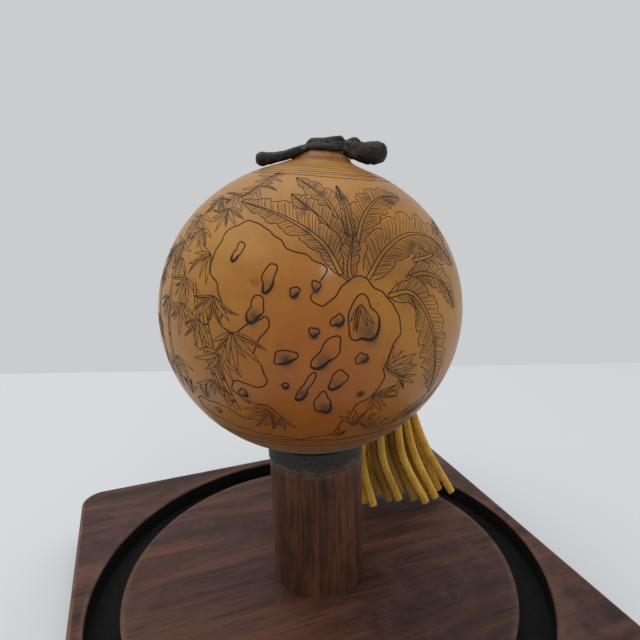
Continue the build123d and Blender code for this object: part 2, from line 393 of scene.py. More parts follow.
def handling():
    """Shader group: smudges and fine scuffs of a piece that has been handled, for its roughness."""
    if "Handling" in bpy.data.node_groups:
        return bpy.data.node_groups["Handling"]
    sockets = [("Vector", "Vector"), ("Smudges", "Float", 90.0)]
    sockets += [("Low", "Float", 0.3), ("High", "Float", 0.5)]
    results = [("Smudge", "Float"), ("Roughness", "Float")]
    group, given, made = new_group("Handling", "ShaderNodeTree", sockets, results)
    smudge = group.speckle(given["Vector"], given["Smudges"], 4.0, 0.65, 0.4)
    scuff = group.speckle(given["Vector"], group.maths("MULTIPLY", given["Smudges"], 14.0), 2.0)
    both = group.spread(group.maths("MULTIPLY_ADD", scuff, 0.35, smudge), 0.45, 0.95)
    span = group.maths("SUBTRACT", given["High"], given["Low"])
    group.feed(made["Smudge"], both)
    group.feed(made["Roughness"], group.maths("MULTIPLY_ADD", both, span, given["Low"]))
    return group.tree


# Second colours of the finishes, beside those in the settings
SHADES = {
    "base bands": (38, 28, 26), "base blotches": (96, 66, 58), "base pores": (30, 21, 19),
    "base wear": (150, 112, 92), "post pores": (24, 17, 15), "post blotches": (48, 33, 28),
    "post dust": (112, 98, 86), "seat smudges": (58, 52, 47), "seat creases": (20, 18, 17),
    "seat dust": (84, 68, 58), "skin flecks": (140, 84, 38), "skin specks": (96, 60, 36),
    "ink wash and painted shade": (56, 41, 32), "thin ink": (112, 74, 40), "collar fibres": (112, 68, 32),
    "collar shine": (180, 128, 62), "stalk grain": (28, 26, 24), "stalk rubbed": (84, 62, 46),
    "cork flecks": (104, 70, 42), "cork": (192, 150, 102), "silk painted shade": (84, 58, 30),
}


def shade(name):
    """One of the second colours."""
    return colour(*SHADES[name])


class Finish(Nodes):
    """A material under construction: its tree, its object coordinates and its surface shader."""

    def __init__(self, name, **plain):
        self.material = bpy.data.materials.new(name)
        self.material.use_nodes = True
        super().__init__(self.material.node_tree)
        self.surface = self.tree.nodes["Principled BSDF"].inputs
        self.link(**plain)
        self.place = self.add("ShaderNodeTexCoord")["Object"]

    def link(self, **sockets):
        """Feed results or plain values to the surface shader."""
        for name, value in sockets.items():
            self.feed(self.surface[name.replace("_", " ").title().replace("Ior", "IOR")], value)

    def stretched(self, scale, centre=(0, 0, 0)):
        """Object coordinates, centred and stretched."""
        inputs = {"Vector": self.place, "Location": -Vector(centre) * Vector(scale), "Scale": scale}
        return self.add("ShaderNodeMapping", inputs)["Vector"]

    def group(self, group, **inputs):
        """Results of a shared effect with its own values."""
        named = {name.title(): value for name, value in inputs.items()}
        return self.add("ShaderNodeGroup", named, node_tree=group)

    def value(self, name):
        """A number stored on the mesh."""
        return self.add("ShaderNodeAttribute", attribute_name=name)["Fac"]

    def handled(self, smudges, low, high):
        """Marks of handling, with roughness between two values."""
        return self.group(handling(), vector=self.place, smudges=smudges, low=low, high=high)

    def over(self, tone, name, amount, share=None):
        """A tone with one of the second colours laid over it."""
        return self.mix(self.maths("MULTIPLY", amount, share) if share else amount, tone, shade(name))

    def done(self, tone, roughness, height=None, depth=0.0):
        """The material with its colour, its roughness and its relief of a depth in metres."""
        self.link(base_color=tone, roughness=roughness)
        if height is not None:
            inputs = {"Height": height, "Distance": depth, "Strength": 1.0}
            self.link(normal=self.add("ShaderNodeBump", inputs)["Normal"])
        return self.material


def base_wood(settings):
    """Oiled dark hardwood with its grain along the base, stained black in the groove."""
    wood = Finish("base wood", specular_ior_level=0.22)
    grain = wood.stretched((0.07, 1, 1))
    figure = wood.group(wood_figure(), vector=grain, streaks=110.0, pores=1500.0)
    touch = wood.handled(45.0, 0.40, 0.60)
    tone = wood.mix(figure["Figure"], settings.base_streak, settings.base_colour)
    bands = wood.speckle(wood.stretched((0.16, 1, 1)), 70.0, 4.0, 0.55, 1.2)
    tone = wood.over(tone, "base bands", wood.spread(bands, 0.42, 0.60, 0.0, 0.65))
    blotch = wood.spread(wood.speckle(wood.place, 120.0, 5.0, 0.7), 0.42, 0.70, 0.0, 0.55)
    tone = wood.over(tone, "base blotches", blotch)
    tone = wood.over(tone, "base pores", figure["Pore"], 0.6)
    worn = wood.maths("MULTIPLY", wood.value("wear"), touch["Smudge"])
    tone = wood.over(tone, "base wear", worn, 0.5)
    tone = wood.mix(wood.value("stain"), tone, settings.groove_colour)
    dull = wood.maths("MULTIPLY_ADD", wood.value("stain"), 0.35, touch["Roughness"])
    return wood.done(tone, dull, figure["Height"], 0.00004)


def post_wood(settings):
    """The post's wood with its grain upright, pale and dusty along its upper rim."""
    wood = Finish("post wood", specular_ior_level=0.14)
    grain = wood.stretched((1, 1, 0.06))
    figure = wood.group(wood_figure(), vector=grain, streaks=260.0, pores=1700.0)
    touch = wood.handled(120.0, 0.42, 0.62)
    tone = wood.mix(figure["Figure"], settings.post_streak, settings.post_colour)
    tone = wood.over(tone, "post pores", figure["Pore"], 0.4)
    blotch = wood.spread(wood.speckle(wood.stretched((1, 1, 0.5)), 210.0, 5.0, 0.7), 0.4, 0.7, 0.0, 0.55)
    tone = wood.over(tone, "post blotches", blotch)
    chips = wood.spread(wood.speckle(wood.stretched((1, 1, 0.5)), 900.0, 4.0), 0.46, 0.58)
    worn = wood.maths("MULTIPLY", wood.value("wear"), chips)
    tone = wood.over(tone, "post dust", worn, 0.6)
    return wood.done(tone, touch["Roughness"], figure["Height"], 0.00008)


def seat_leather(settings):
    """Dark pebbled leather, dusty where it meets the post."""
    hide = Finish("seat leather", specular_ior_level=0.4)
    pebble = hide.add("ShaderNodeTexVoronoi", {"Vector": hide.place, "Scale": 1500.0})["Distance"]
    touch = hide.handled(160.0, 0.5, 0.75)
    tone = hide.mix(touch["Smudge"], settings.seat_colour, shade("seat smudges"))
    tone = hide.mix(hide.spread(pebble, 0.0, 0.5), shade("seat creases"), tone)
    dust = hide.spread(hide.speckle(hide.place, 420.0, 5.0, 0.65), 0.62, 0.34)
    dust = hide.spread(hide.maths("MULTIPLY_ADD", dust, -0.9, hide.value("wear")), 0.0, 0.7)
    tone = hide.over(tone, "seat dust", dust)
    return hide.done(tone, touch["Roughness"], pebble, 0.00012)


def gourd_skin(settings):
    """Polished gourd skin: honey mottling, faint upright streaks, specks, rubbed brown and washes of thinned
    ink; low down and at the foot the brown and the ink are painted shade.
    """
    skin = Finish(
        "gourd skin", specular_ior_level=0.24, coat_weight=0.18, coat_roughness=0.16, sheen_weight=0.1,
        sheen_roughness=0.35,
    )
    cloud = skin.spread(skin.speckle(skin.place, 42.0, 5.0, 0.6, 0.6), 0.36, 0.66)
    streak = skin.speckle(skin.stretched((1, 1, 0.10)), 380.0, 3.0, 0.6)
    fine = skin.speckle(skin.place, 900.0, 3.0, 0.6)
    blend = skin.maths("MULTIPLY_ADD", streak, 0.5, skin.maths("MULTIPLY_ADD", cloud, 0.7, -0.15))
    tone = skin.mix(blend, settings.skin_deep, settings.skin_light)
    tone = skin.over(tone, "skin flecks", skin.spread(fine, 0.56, 0.80, 0.0, 0.35))
    speck = skin.spread(skin.speckle(skin.place, 520.0, 1.0), 0.74, 0.80, 0.0, 0.5)
    tone = skin.over(tone, "skin specks", speck)
    # Rubbed brown; low on the gourd and at its foot it is painted shade
    tone = skin.mix(skin.maths("MULTIPLY", skin.value("stain"), 0.8), tone, settings.skin_brown_and_shade)
    # Thinned ink of the pictures; at the foot it is painted shade
    wash = skin.maths("MULTIPLY", skin.value("wash"), skin.spread(fine, 0.25, 0.6, 0.65, 1.0))
    tone = skin.over(tone, "ink wash and painted shade", wash)
    touch = skin.handled(60.0, 0.38, 0.50)
    return skin.done(tone, touch["Roughness"], skin.maths("MULTIPLY_ADD", streak, 0.7, fine), 0.00002)


def engraving_ink(settings):
    """Ink rubbed into the cut lines, thinner in places."""
    ink = Finish("engraving ink", specular_ior_level=0.2)
    thin = ink.spread(ink.speckle(ink.place, 240.0, 3.0), 0.5, 0.8, 0.0, 0.35)
    tone = ink.mix(thin, settings.ink_colour, shade("thin ink"))
    touch = ink.handled(200.0, 0.45, 0.65)
    return ink.done(tone, touch["Roughness"])


def collar_wood(settings):
    """The collar's fibrous wood, streaked up its side."""
    wood = Finish("collar wood", coat_weight=0.12, coat_roughness=0.3)
    fibre = wood.speckle(wood.stretched((1, 1, 0.15), MOUTH * MM), 900.0, 4.0, 0.65, 0.5)
    touch = wood.handled(220.0, 0.34, 0.52)
    tone = wood.mix(wood.spread(fibre, 0.35, 0.65), shade("collar fibres"), settings.collar_colour)
    tone = wood.over(tone, "collar shine", touch["Smudge"], 0.35)
    return wood.done(tone, touch["Roughness"], fibre, 0.00010)


def stalk_wood(settings):
    """Black stalk, rubbed paler and browner on its ridges."""
    wood = Finish("stalk wood", specular_ior_level=0.28)
    rough = wood.speckle(wood.place, 1300.0, 5.0, 0.65)
    touch = wood.handled(260.0, 0.38, 0.60)
    tone = wood.mix(rough, settings.stalk_colour, shade("stalk grain"))
    rubbed = wood.maths("MULTIPLY", wood.spread(wood.value("ridge"), 0.35, 0.9), touch["Smudge"])
    tone = wood.over(tone, "stalk rubbed", rubbed, 0.7)
    return wood.done(tone, touch["Roughness"], rough, 0.00006)


def cork():
    """Pale cork with dark flecks."""
    bark = Finish("cork", specular_ior_level=0.25)
    cells = bark.speckle(bark.place, 1800.0, 4.0, 0.7)
    touch = bark.handled(400.0, 0.7, 0.9)
    tone = bark.mix(bark.spread(cells, 0.3, 0.6), shade("cork flecks"), shade("cork"))
    return bark.done(tone, touch["Roughness"], cells, 0.00015)


def gold_silk(settings):
    """Golden silk: fine fibres along the ply, bright and deep in turn, with brown painted shade inside the
    bundle and near the head.
    """
    silk = Finish("gold silk", sheen_weight=0.35, sheen_roughness=0.4, specular_ior_level=0.6)
    silk.link(sheen_tint=settings.gold_light)
    lay = silk.add("ShaderNodeCombineXYZ", {0: silk.value("around"), 1: silk.value("lengthwise")})["Vector"]
    fibre = silk.speckle(silk.vectors("MULTIPLY", lay, (26, 700, 1)), 1.0, 3.0, 0.6)
    patch = silk.speckle(silk.place, 160.0, 3.0, 0.6)
    blend = silk.maths("MULTIPLY_ADD", fibre, 0.6, silk.maths("MULTIPLY", patch, 0.5))
    tone = silk.mix(silk.spread(blend, 0.32, 0.76), settings.gold_deep, settings.gold_light)
    # Brown painted shade inside the bundle and near the head
    tone = silk.over(tone, "silk painted shade", silk.value("dust"))
    touch = silk.handled(300.0, 0.40, 0.58)
    return silk.done(tone, touch["Roughness"], fibre, 0.00006)


def floor_paint(settings):
    """Pale plain floor."""
    paint = Finish("floor paint", specular_ior_level=0.1, roughness=0.9)
    cloud = paint.speckle(paint.place, 3.0, 2.0)
    darker = tuple(0.97 * part for part in settings.floor_colour[:3]) + (1.0,)
    paint.link(base_color=paint.mix(cloud, darker, settings.floor_colour))
    return paint.material


# Geometry node trees


def run_tree(name, lines, tree, values, closed=False, **numbers):
    """Feed lines given in millimetres to a geometry node tree, and keep the plain mesh that it makes."""
    edges, first = [], 0
    for line in lines:
        last = first + len(line) - 1
        edges += [(index, index + 1) for index in range(first, last)]
        if closed:
            edges.append((last, first))
        first = last + 1
    points = np.concatenate(lines)
    mesh = bpy.data.meshes.new(name)
    mesh.from_pydata(np.pad(points, ((0, 0), (0, 3 - points.shape[1]))) * MM, edges, [])
    for key, stored in numbers.items():
        set_values(mesh, key, stored)
    host = new_object(name, mesh)
    modifier = host.modifiers.new(tree.name, "NODES")
    modifier.node_group = tree
    for socket in tree.interface.items_tree:
        if socket.in_out == "INPUT" and socket.name in values:
            modifier[socket.identifier] = values[socket.name]
    return settle(host)


def swept(tree, curve, section, scale=1.0):
    """A section swept along a curve, closed at its ends."""
    inputs = {"Curve": curve, "Profile Curve": section, "Scale": scale, "Fill Caps": True}
    return tree.add("GeometryNodeCurveToMesh", inputs)["Mesh"]


def with_number(tree, geometry, name, value):
    """Geometry that keeps a number on each of its points."""
    inputs = {"Geometry": geometry, "Name": name, "Value": value}
    return tree.add("GeometryNodeStoreNamedAttribute", inputs)["Geometry"]


def tree_end(tree, geometry, material, end):
    """Smooth shading, realised instances and a material at the end of a tree."""
    smooth = tree.add("GeometryNodeSetShadeSmooth", {"Geometry": geometry})[0]
    real = tree.add("GeometryNodeRealizeInstances", {"Geometry": smooth})[0]
    tree.feed(end, tree.add("GeometryNodeSetMaterial", {"Geometry": real, "Material": material})[0])
    return tree.tree


def engraved_lines():
    """Tree: flat lines become ribbons of ink, wrapped over the gourd from a panel that touches its middle."""
    sockets = [
        ("Geometry", "Geometry"), ("Line Width", "Float"), ("Line Depth", "Float"), ("Line Rise", "Float"),
        ("Gourd Radius", "Float"), ("Gourd Centre", "Vector"), ("Facing", "Vector"),
        ("Panel Right", "Vector"), ("Panel Up", "Vector"), ("Gourd", "Object"), ("Ink", "Material"),
    ]
    tree, given, made = new_group("Engraved lines", "GeometryNodeTree", sockets, [("Geometry", "Geometry")])
    line = tree.add("GeometryNodeMeshToCurve", {"Mesh": given["Geometry"]})["Curve"]
    line = tree.add("GeometryNodeSetCurveNormal", {"Curve": line}, mode="Z_UP")["Curve"]
    size = {"Width": given["Line Width"], "Height": given["Line Depth"]}
    section = tree.add("GeometryNodeCurvePrimitiveQuadrilateral", size)["Curve"]
    share = tree.add("GeometryNodeInputNamedAttribute", {"Name": "stroke"}, data_type="FLOAT")["Attribute"]
    ribbon = swept(tree, line, section, share)
    place = tree.add("GeometryNodeInputPosition")["Position"]
    flat = tree.vectors("MULTIPLY", place, (1, 1, 0))
    height = tree.vectors("DOT_PRODUCT", place, (0, 0, 1), "Value")
    angle = tree.maths("DIVIDE", tree.vectors("LENGTH", flat, output="Value"), given["Gourd Radius"])
    way = tree.vectors("NORMALIZE", flat)
    aside = tree.sum_of(
        given["Panel Right"], tree.vectors("DOT_PRODUCT", way, (1, 0, 0), "Value"),
        given["Panel Up"], tree.vectors("DOT_PRODUCT", way, (0, 1, 0), "Value"),
    )
    out = tree.sum_of(given["Facing"], tree.maths("COSINE", angle), aside, tree.maths("SINE", angle))
    # Rays start outside the gourd and run back to its skin
    reach = tree.maths("MULTIPLY", given["Gourd Radius"], 1.5)
    target = tree.add("GeometryNodeObjectInfo", {"Object": given["Gourd"]}, transform_space="RELATIVE")
    ray = {
        "Target Geometry": target["Geometry"],
        "Source Position": tree.vectors("ADD", given["Gourd Centre"], tree.vectors("SCALE", out, reach)),
        "Ray Direction": tree.vectors("SCALE", out, -1.0),
        "Ray Length": reach,
    }
    hit = tree.add("GeometryNodeRaycast", ray)["Hit Position"]
    lift = tree.maths("ADD", height, given["Line Rise"])
    wrapped = tree.vectors("ADD", hit, tree.vectors("SCALE", out, lift))
    placed = tree.add("GeometryNodeSetPosition", {"Geometry": ribbon, "Position": wrapped})["Geometry"]
    return tree_end(tree, placed, given["Ink"], made["Geometry"])


def twisted_cord():
    """Tree: a path becomes a cord of plies twisted round each other and round a core."""
    sockets = [
        ("Geometry", "Geometry"), ("Cord Diameter", "Float"), ("Plies", "Int"), ("Twist Pitch", "Float"),
        ("Step", "Float"), ("Sides", "Int"), ("Core Radius", "Float"), ("Silk", "Material"),
    ]
    tree, given, made = new_group("Twisted cord", "GeometryNodeTree", sockets, [("Geometry", "Geometry")])
    line = tree.add("GeometryNodeMeshToCurve", {"Mesh": given["Geometry"]})["Curve"]
    steps = {"Curve": line, "Length": given["Step"]}
    line = tree.add("GeometryNodeResampleCurve", steps, mode="LENGTH")["Curve"]
    copies = {"Geometry": line, "Amount": given["Plies"]}
    plies = tree.add("GeometryNodeDuplicateElements", copies, domain="SPLINE")
    along = tree.add("GeometryNodeSplineParameter")
    turn = tree.maths("DIVIDE", plies["Duplicate Index"], given["Plies"])
    turn = tree.maths("ADD", turn, tree.maths("DIVIDE", along["Length"], given["Twist Pitch"]))
    turn = tree.maths("MULTIPLY", turn, 2 * math.pi)
    normal = tree.add("GeometryNodeInputNormal")["Normal"]
    aside = tree.vectors("CROSS_PRODUCT", tree.add("GeometryNodeInputTangent")["Tangent"], normal)
    # Round plies that touch fill the cord's diameter where the ply is this share of it
    crowd = tree.maths("SINE", tree.maths("DIVIDE", math.pi, given["Plies"]))
    share = tree.maths("DIVIDE", crowd, tree.maths("ADD", crowd, 1.0))
    half = tree.maths("MULTIPLY", given["Cord Diameter"], 0.5)
    ply = tree.maths("MULTIPLY", half, share)
    ring = tree.maths("SUBTRACT", half, ply)
    offset = tree.sum_of(
        normal, tree.maths("MULTIPLY", ring, tree.maths("COSINE", turn)),
        aside, tree.maths("MULTIPLY", ring, tree.maths("SINE", turn)),
    )
    helix = tree.add("GeometryNodeSetPosition", {"Geometry": plies["Geometry"], "Offset": offset})["Geometry"]
    helix = with_number(tree, helix, "lengthwise", along["Length"])
    circles = ({"Resolution": given["Sides"], "Radius": radius} for radius in (ply, given["Core Radius"]))
    section, middle = (tree.add("GeometryNodeCurvePrimitiveCircle", circle)["Curve"] for circle in circles)
    section = with_number(tree, section, "around", along["Factor"])
    whole = tree.tree.nodes.new("GeometryNodeJoinGeometry")
    for part in (swept(tree, helix, section), swept(tree, line, middle)):
        tree.feed(whole.inputs[0], part)
    return tree_end(tree, whole.outputs[0], given["Silk"], made["Geometry"])


def smooth_line(points, closed=False, step=0.35):
    """Evenly spaced points on a smooth line through the given ones."""
    knots = np.asarray(points, float)
    made = []
    for index in range(len(knots) if closed else len(knots) - 1):
        if closed:
            before, start, end, after = (knots[(index + shift) % len(knots)] for shift in (-1, 0, 1, 2))
        else:
            start, end = knots[index], knots[index + 1]
            before = knots[index - 1] if index else 2 * start - end
            after = knots[index + 2] if index + 2 < len(knots) else 2 * end - start
        share = np.linspace(0, 1, max(3, int(np.linalg.norm(end - start) / step)), endpoint=False)[:, None]
        made.append(
            start
            + share * (end - before) / 2
            + share**2 * (before - 2.5 * start + 2 * end - after / 2)
            + share**3 * (1.5 * (start - end) + (after - before) / 2)
        )
    made.append(knots[:1] if closed else knots[-1:])
    return np.concatenate(made)


# Picture


def inside(points, outline):
    """Which points lie inside a closed outline."""
    start, end = outline, np.roll(outline, -1, axis=0)
    x, y = points[:, :1], points[:, 1:]
    rises = (start[:, 1] > y) != (end[:, 1] > y)
    height = np.where(end[:, 1] == start[:, 1], 1e-9, end[:, 1] - start[:, 1])
    crossing = start[:, 0] + (y - start[:, 1]) * (end[:, 0] - start[:, 0]) / height
    return (rises & (x < crossing)).sum(1) % 2 == 1


def heading(degrees):
    """Unit vector on a panel, counted from right towards up."""
    return np.array([math.cos(math.radians(degrees)), math.sin(math.radians(degrees))])


def sides_of(spine):
    """Unit vectors along and across a line."""
    along = np.gradient(spine, axis=0)
    along /= np.linalg.norm(along, axis=1, keepdims=True)
    return along, np.stack([-along[:, 1], along[:, 0]], 1)


class Drawing:
    """Ink lines and washes on one side of the gourd. What is drawn first hides what is drawn later."""

    # Widths of the lines, as shares of the plain line's
    stroke = {
        "bamboo leaf": 0.62, "bamboo vein": 1.2, "stem joint": 1.3, "plantain leaf": 0.85,
        "plantain rib": 0.95, "plantain vein": 0.52, "rock": 1.2, "hollow": 1.2, "hollow's low side": 2.7,
        "ground": 0.8,
    }
    # Plantain leaves: slant of their veins in degrees, distance between veins and depth of their shade
    slant, spacing, leaf_shade = 38.0, 0.62, 0.35

    def __init__(self, seed):
        self.random = np.random.default_rng(seed)
        self.lines, self.covers, self.washes, self.stains_and_shades = [], [], [], []

    def line(self, points, width=1.0, taper=0.0):
        """Draw a line where nothing in front of it hides it. Taper thins its two ends."""
        points = np.asarray(points, float)
        shown = np.ones(len(points), bool)
        for outline, low, high in self.covers:
            near = shown & (points > low).all(1) & (points < high).all(1)
            if near.any():
                shown[near] &= ~inside(points[near], outline)
        share = np.linspace(0, math.pi, len(points))
        widths = width * (1 - taper + taper * np.sin(share) ** 0.6)
        breaks = np.flatnonzero(np.diff(shown.astype(int))) + 1
        for run in np.split(np.arange(len(points)), breaks):
            if shown[run[0]] and len(run) > 1:
                self.lines.append((points[run], widths[run]))

    def cover(self, outline):
        """Hide what is drawn later inside an outline."""
        self.covers.append((outline, outline.min(0), outline.max(0)))

    def shape(self, outline, width=1.0):
        """Draw a closed outline that hides what lies behind it."""
        self.line(np.concatenate([outline, outline[:1]]), width)
        self.cover(outline)

    def wash(self, place, radius, depth):
        """Lay a soft spot of thinned ink; at the gourd's foot such spots are painted shade."""
        self.washes.append((*place, radius, depth))

    def stain(self, place, radius, depth):
        """Rub a broad brown tone into the skin; low on the gourd and at its foot this tone is painted shade.
        """
        self.stains_and_shades.append((*place, radius, depth))

    def bamboo_leaf(self, foot, angle, reach, veined):
        """A slim pointed leaf."""
        share = np.linspace(0, 1, 14)[:, None]
        side = heading(angle + 90)
        lift = self.random.normal(0, 0.06) * reach
        spine = np.asarray(foot) + heading(angle) * share * reach + side * lift * share * (1 - share) * 4
        half = side * 0.058 * (reach + 1.6) * np.sin(math.pi * share**0.75) ** 0.9
        if veined:
            self.line(spine[2:-2], self.stroke["bamboo vein"], 0.5)
        self.shape(np.concatenate([spine + half, (spine - half)[-2:0:-1]]), self.stroke["bamboo leaf"])

    def spray(self, foot, angle, count, reach, spread_angle):
        """A fan of bamboo leaves from one node, the middle ones in front."""
        for number in sorted(range(count), key=lambda number: abs(number - (count - 1) / 2)):
            turn = (number / max(count - 1, 1) - 0.5) * spread_angle + self.random.normal(0, 5)
            long = reach * self.random.uniform(0.7, 1.1) * (1 - 0.25 * abs(turn) / spread_angle)
            self.bamboo_leaf(foot, angle + turn, long, self.random.random() < 0.3)
        self.wash(np.asarray(foot) + heading(angle) * 0.2 * reach, 0.3 * reach, 0.35)

    def culm(self, points, width, joints):
        """A bamboo stem: two lines with joints across them."""
        spine = smooth_line(points)
        side = sides_of(spine)[1] * width / 2
        for place in np.linspace(0.12, 0.9, joints):
            at = int(place * (len(spine) - 2))
            for middle in spine[at : at + 2]:
                self.line([middle - side[at] * 1.3, middle + side[at] * 1.3], self.stroke["stem joint"])
        self.line(spine + side)
        self.line(spine - side)
        self.cover(np.concatenate([spine + side, (spine - side)[::-1]]))

    def plantain(self, rib, widths, tears):
        """A broad torn leaf with a double midrib, veins and notched edges, as wide as given on each side."""
        spine = smooth_line(rib)
        along, across = sides_of(spine)
        reach = np.r_[0, np.cumsum(np.linalg.norm(np.diff(spine, axis=0), axis=1))]
        share = reach / reach[-1]
        slant = math.radians(self.slant)
        edges, veins = [], []
        for side, width in zip((1, -1), widths):
            phase = self.random.random()
            notch = 1 - 0.34 * ((share * tears + phase) % 1) ** 2.2
            ripple = 1 + 0.04 * np.sin(share * 61 + 9 * phase)
            out = width * np.sin(math.pi * share**0.72) ** 0.62 * notch * ripple
            way = across * side * math.cos(slant) + along * math.sin(slant) * (1 - share[:, None] ** 4)
            edges.append(spine + way * out[:, None])
            for place in np.arange(0.05, 0.97, self.spacing / reach[-1]):
                at = int(np.clip(place + self.random.normal(0, 0.003), 0, 1) * (len(spine) - 1))
                long = out[at] * self.random.uniform(0.8, 0.98)
                root, tip = spine[at] + across[at] * side * 0.3, spine[at] + way[at] * long
                if long > 0.5:
                    middle = (root + tip) / 2 + along[at] * long * 0.05
                    veins.append(smooth_line([root, middle, tip], step=0.5))
        rib_half = across * 0.42 * (1 - share[:, None]) ** 0.7
        self.line(spine + rib_half, self.stroke["plantain rib"])
        self.line(spine - rib_half, self.stroke["plantain rib"])
        for vein in veins:
            self.line(vein, self.stroke["plantain vein"], 0.35)
        self.shape(np.concatenate([edges[0], edges[1][::-1]]), self.stroke["plantain leaf"])
        self.wash(spine[len(spine) // 5], min(widths) * 0.7, self.leaf_shade)
        self.wash(spine[-len(spine) // 7], min(widths) * 0.5, self.leaf_shade * 0.8)
        for _ in range(2):
            at = int(self.random.uniform(0.3, 0.9) * len(spine))
            off = self.random.uniform(-0.5, 0.5) * min(widths)
            self.wash(spine[at] + across[at] * off, self.random.uniform(0.5, 0.9), 0.75)

    def rock(self, corners):
        """A weathered stone with a crinkled outline."""
        outline = smooth_line(corners, closed=True)[:-1]
        share = np.arange(len(outline)) * 2 * math.pi / len(outline)
        crinkle = np.zeros(len(outline))
        for waves, deep in ((17, 0.16), (29, 0.16), (43, 0.12), (67, 0.07)):
            crinkle += deep * np.sin(waves * share + self.random.uniform(0, 2 * math.pi))
        self.shape(outline + sides_of(outline)[1] * crinkle[:, None], self.stroke["rock"])

    def hollow(self, place, size, angle, pinch, depth):
        """A worn hole in the rock, narrowed in the middle where pinch is above 0, dark along its low side."""
        turns = np.linspace(0, 2 * math.pi, int(5 * size[0] + 14), endpoint=False)
        first, second, third = self.random.uniform(0, 2 * math.pi, 3)
        radius = 1 + 0.12 * np.sin(2 * turns + first) + 0.13 * np.sin(3 * turns + second)
        radius = radius * (1 - pinch * np.sin(turns) ** 2) + 0.06 * np.sin(5 * turns + third)
        outline = (
            np.asarray(place)
            + (size[0] * radius * np.cos(turns))[:, None] * heading(angle)
            + (size[1] * radius * np.sin(turns))[:, None] * heading(angle + 90)
        )
        lowest = int(np.argmin(outline @ heading(110)))
        reach = len(outline) // 5
        shadow = np.take(outline, range(lowest - reach, lowest + reach + 1), axis=0, mode="wrap")
        self.line(smooth_line(shadow), self.stroke["hollow's low side"], 0.8)
        self.shape(smooth_line(outline, closed=True)[:-1], self.stroke["hollow"])
        self.wash((np.asarray(place) + outline[lowest]) / 2, 0.5 * min(size) + 0.3, depth)
        self.wash(outline[lowest], 0.25 * min(size) + 0.3, depth)

    def ring(self, radius, waver, width):
        """A circle cut by hand round the panel's middle."""
        turns = np.linspace(0, 2 * math.pi, int(radius * 14))
        first, second = self.random.uniform(0, 2 * math.pi, 2)
        drift = radius + waver * (np.sin(2 * turns + first) + 0.6 * np.sin(5 * turns + second))
        self.line(np.stack([drift * np.cos(turns), drift * np.sin(turns)], 1), width)


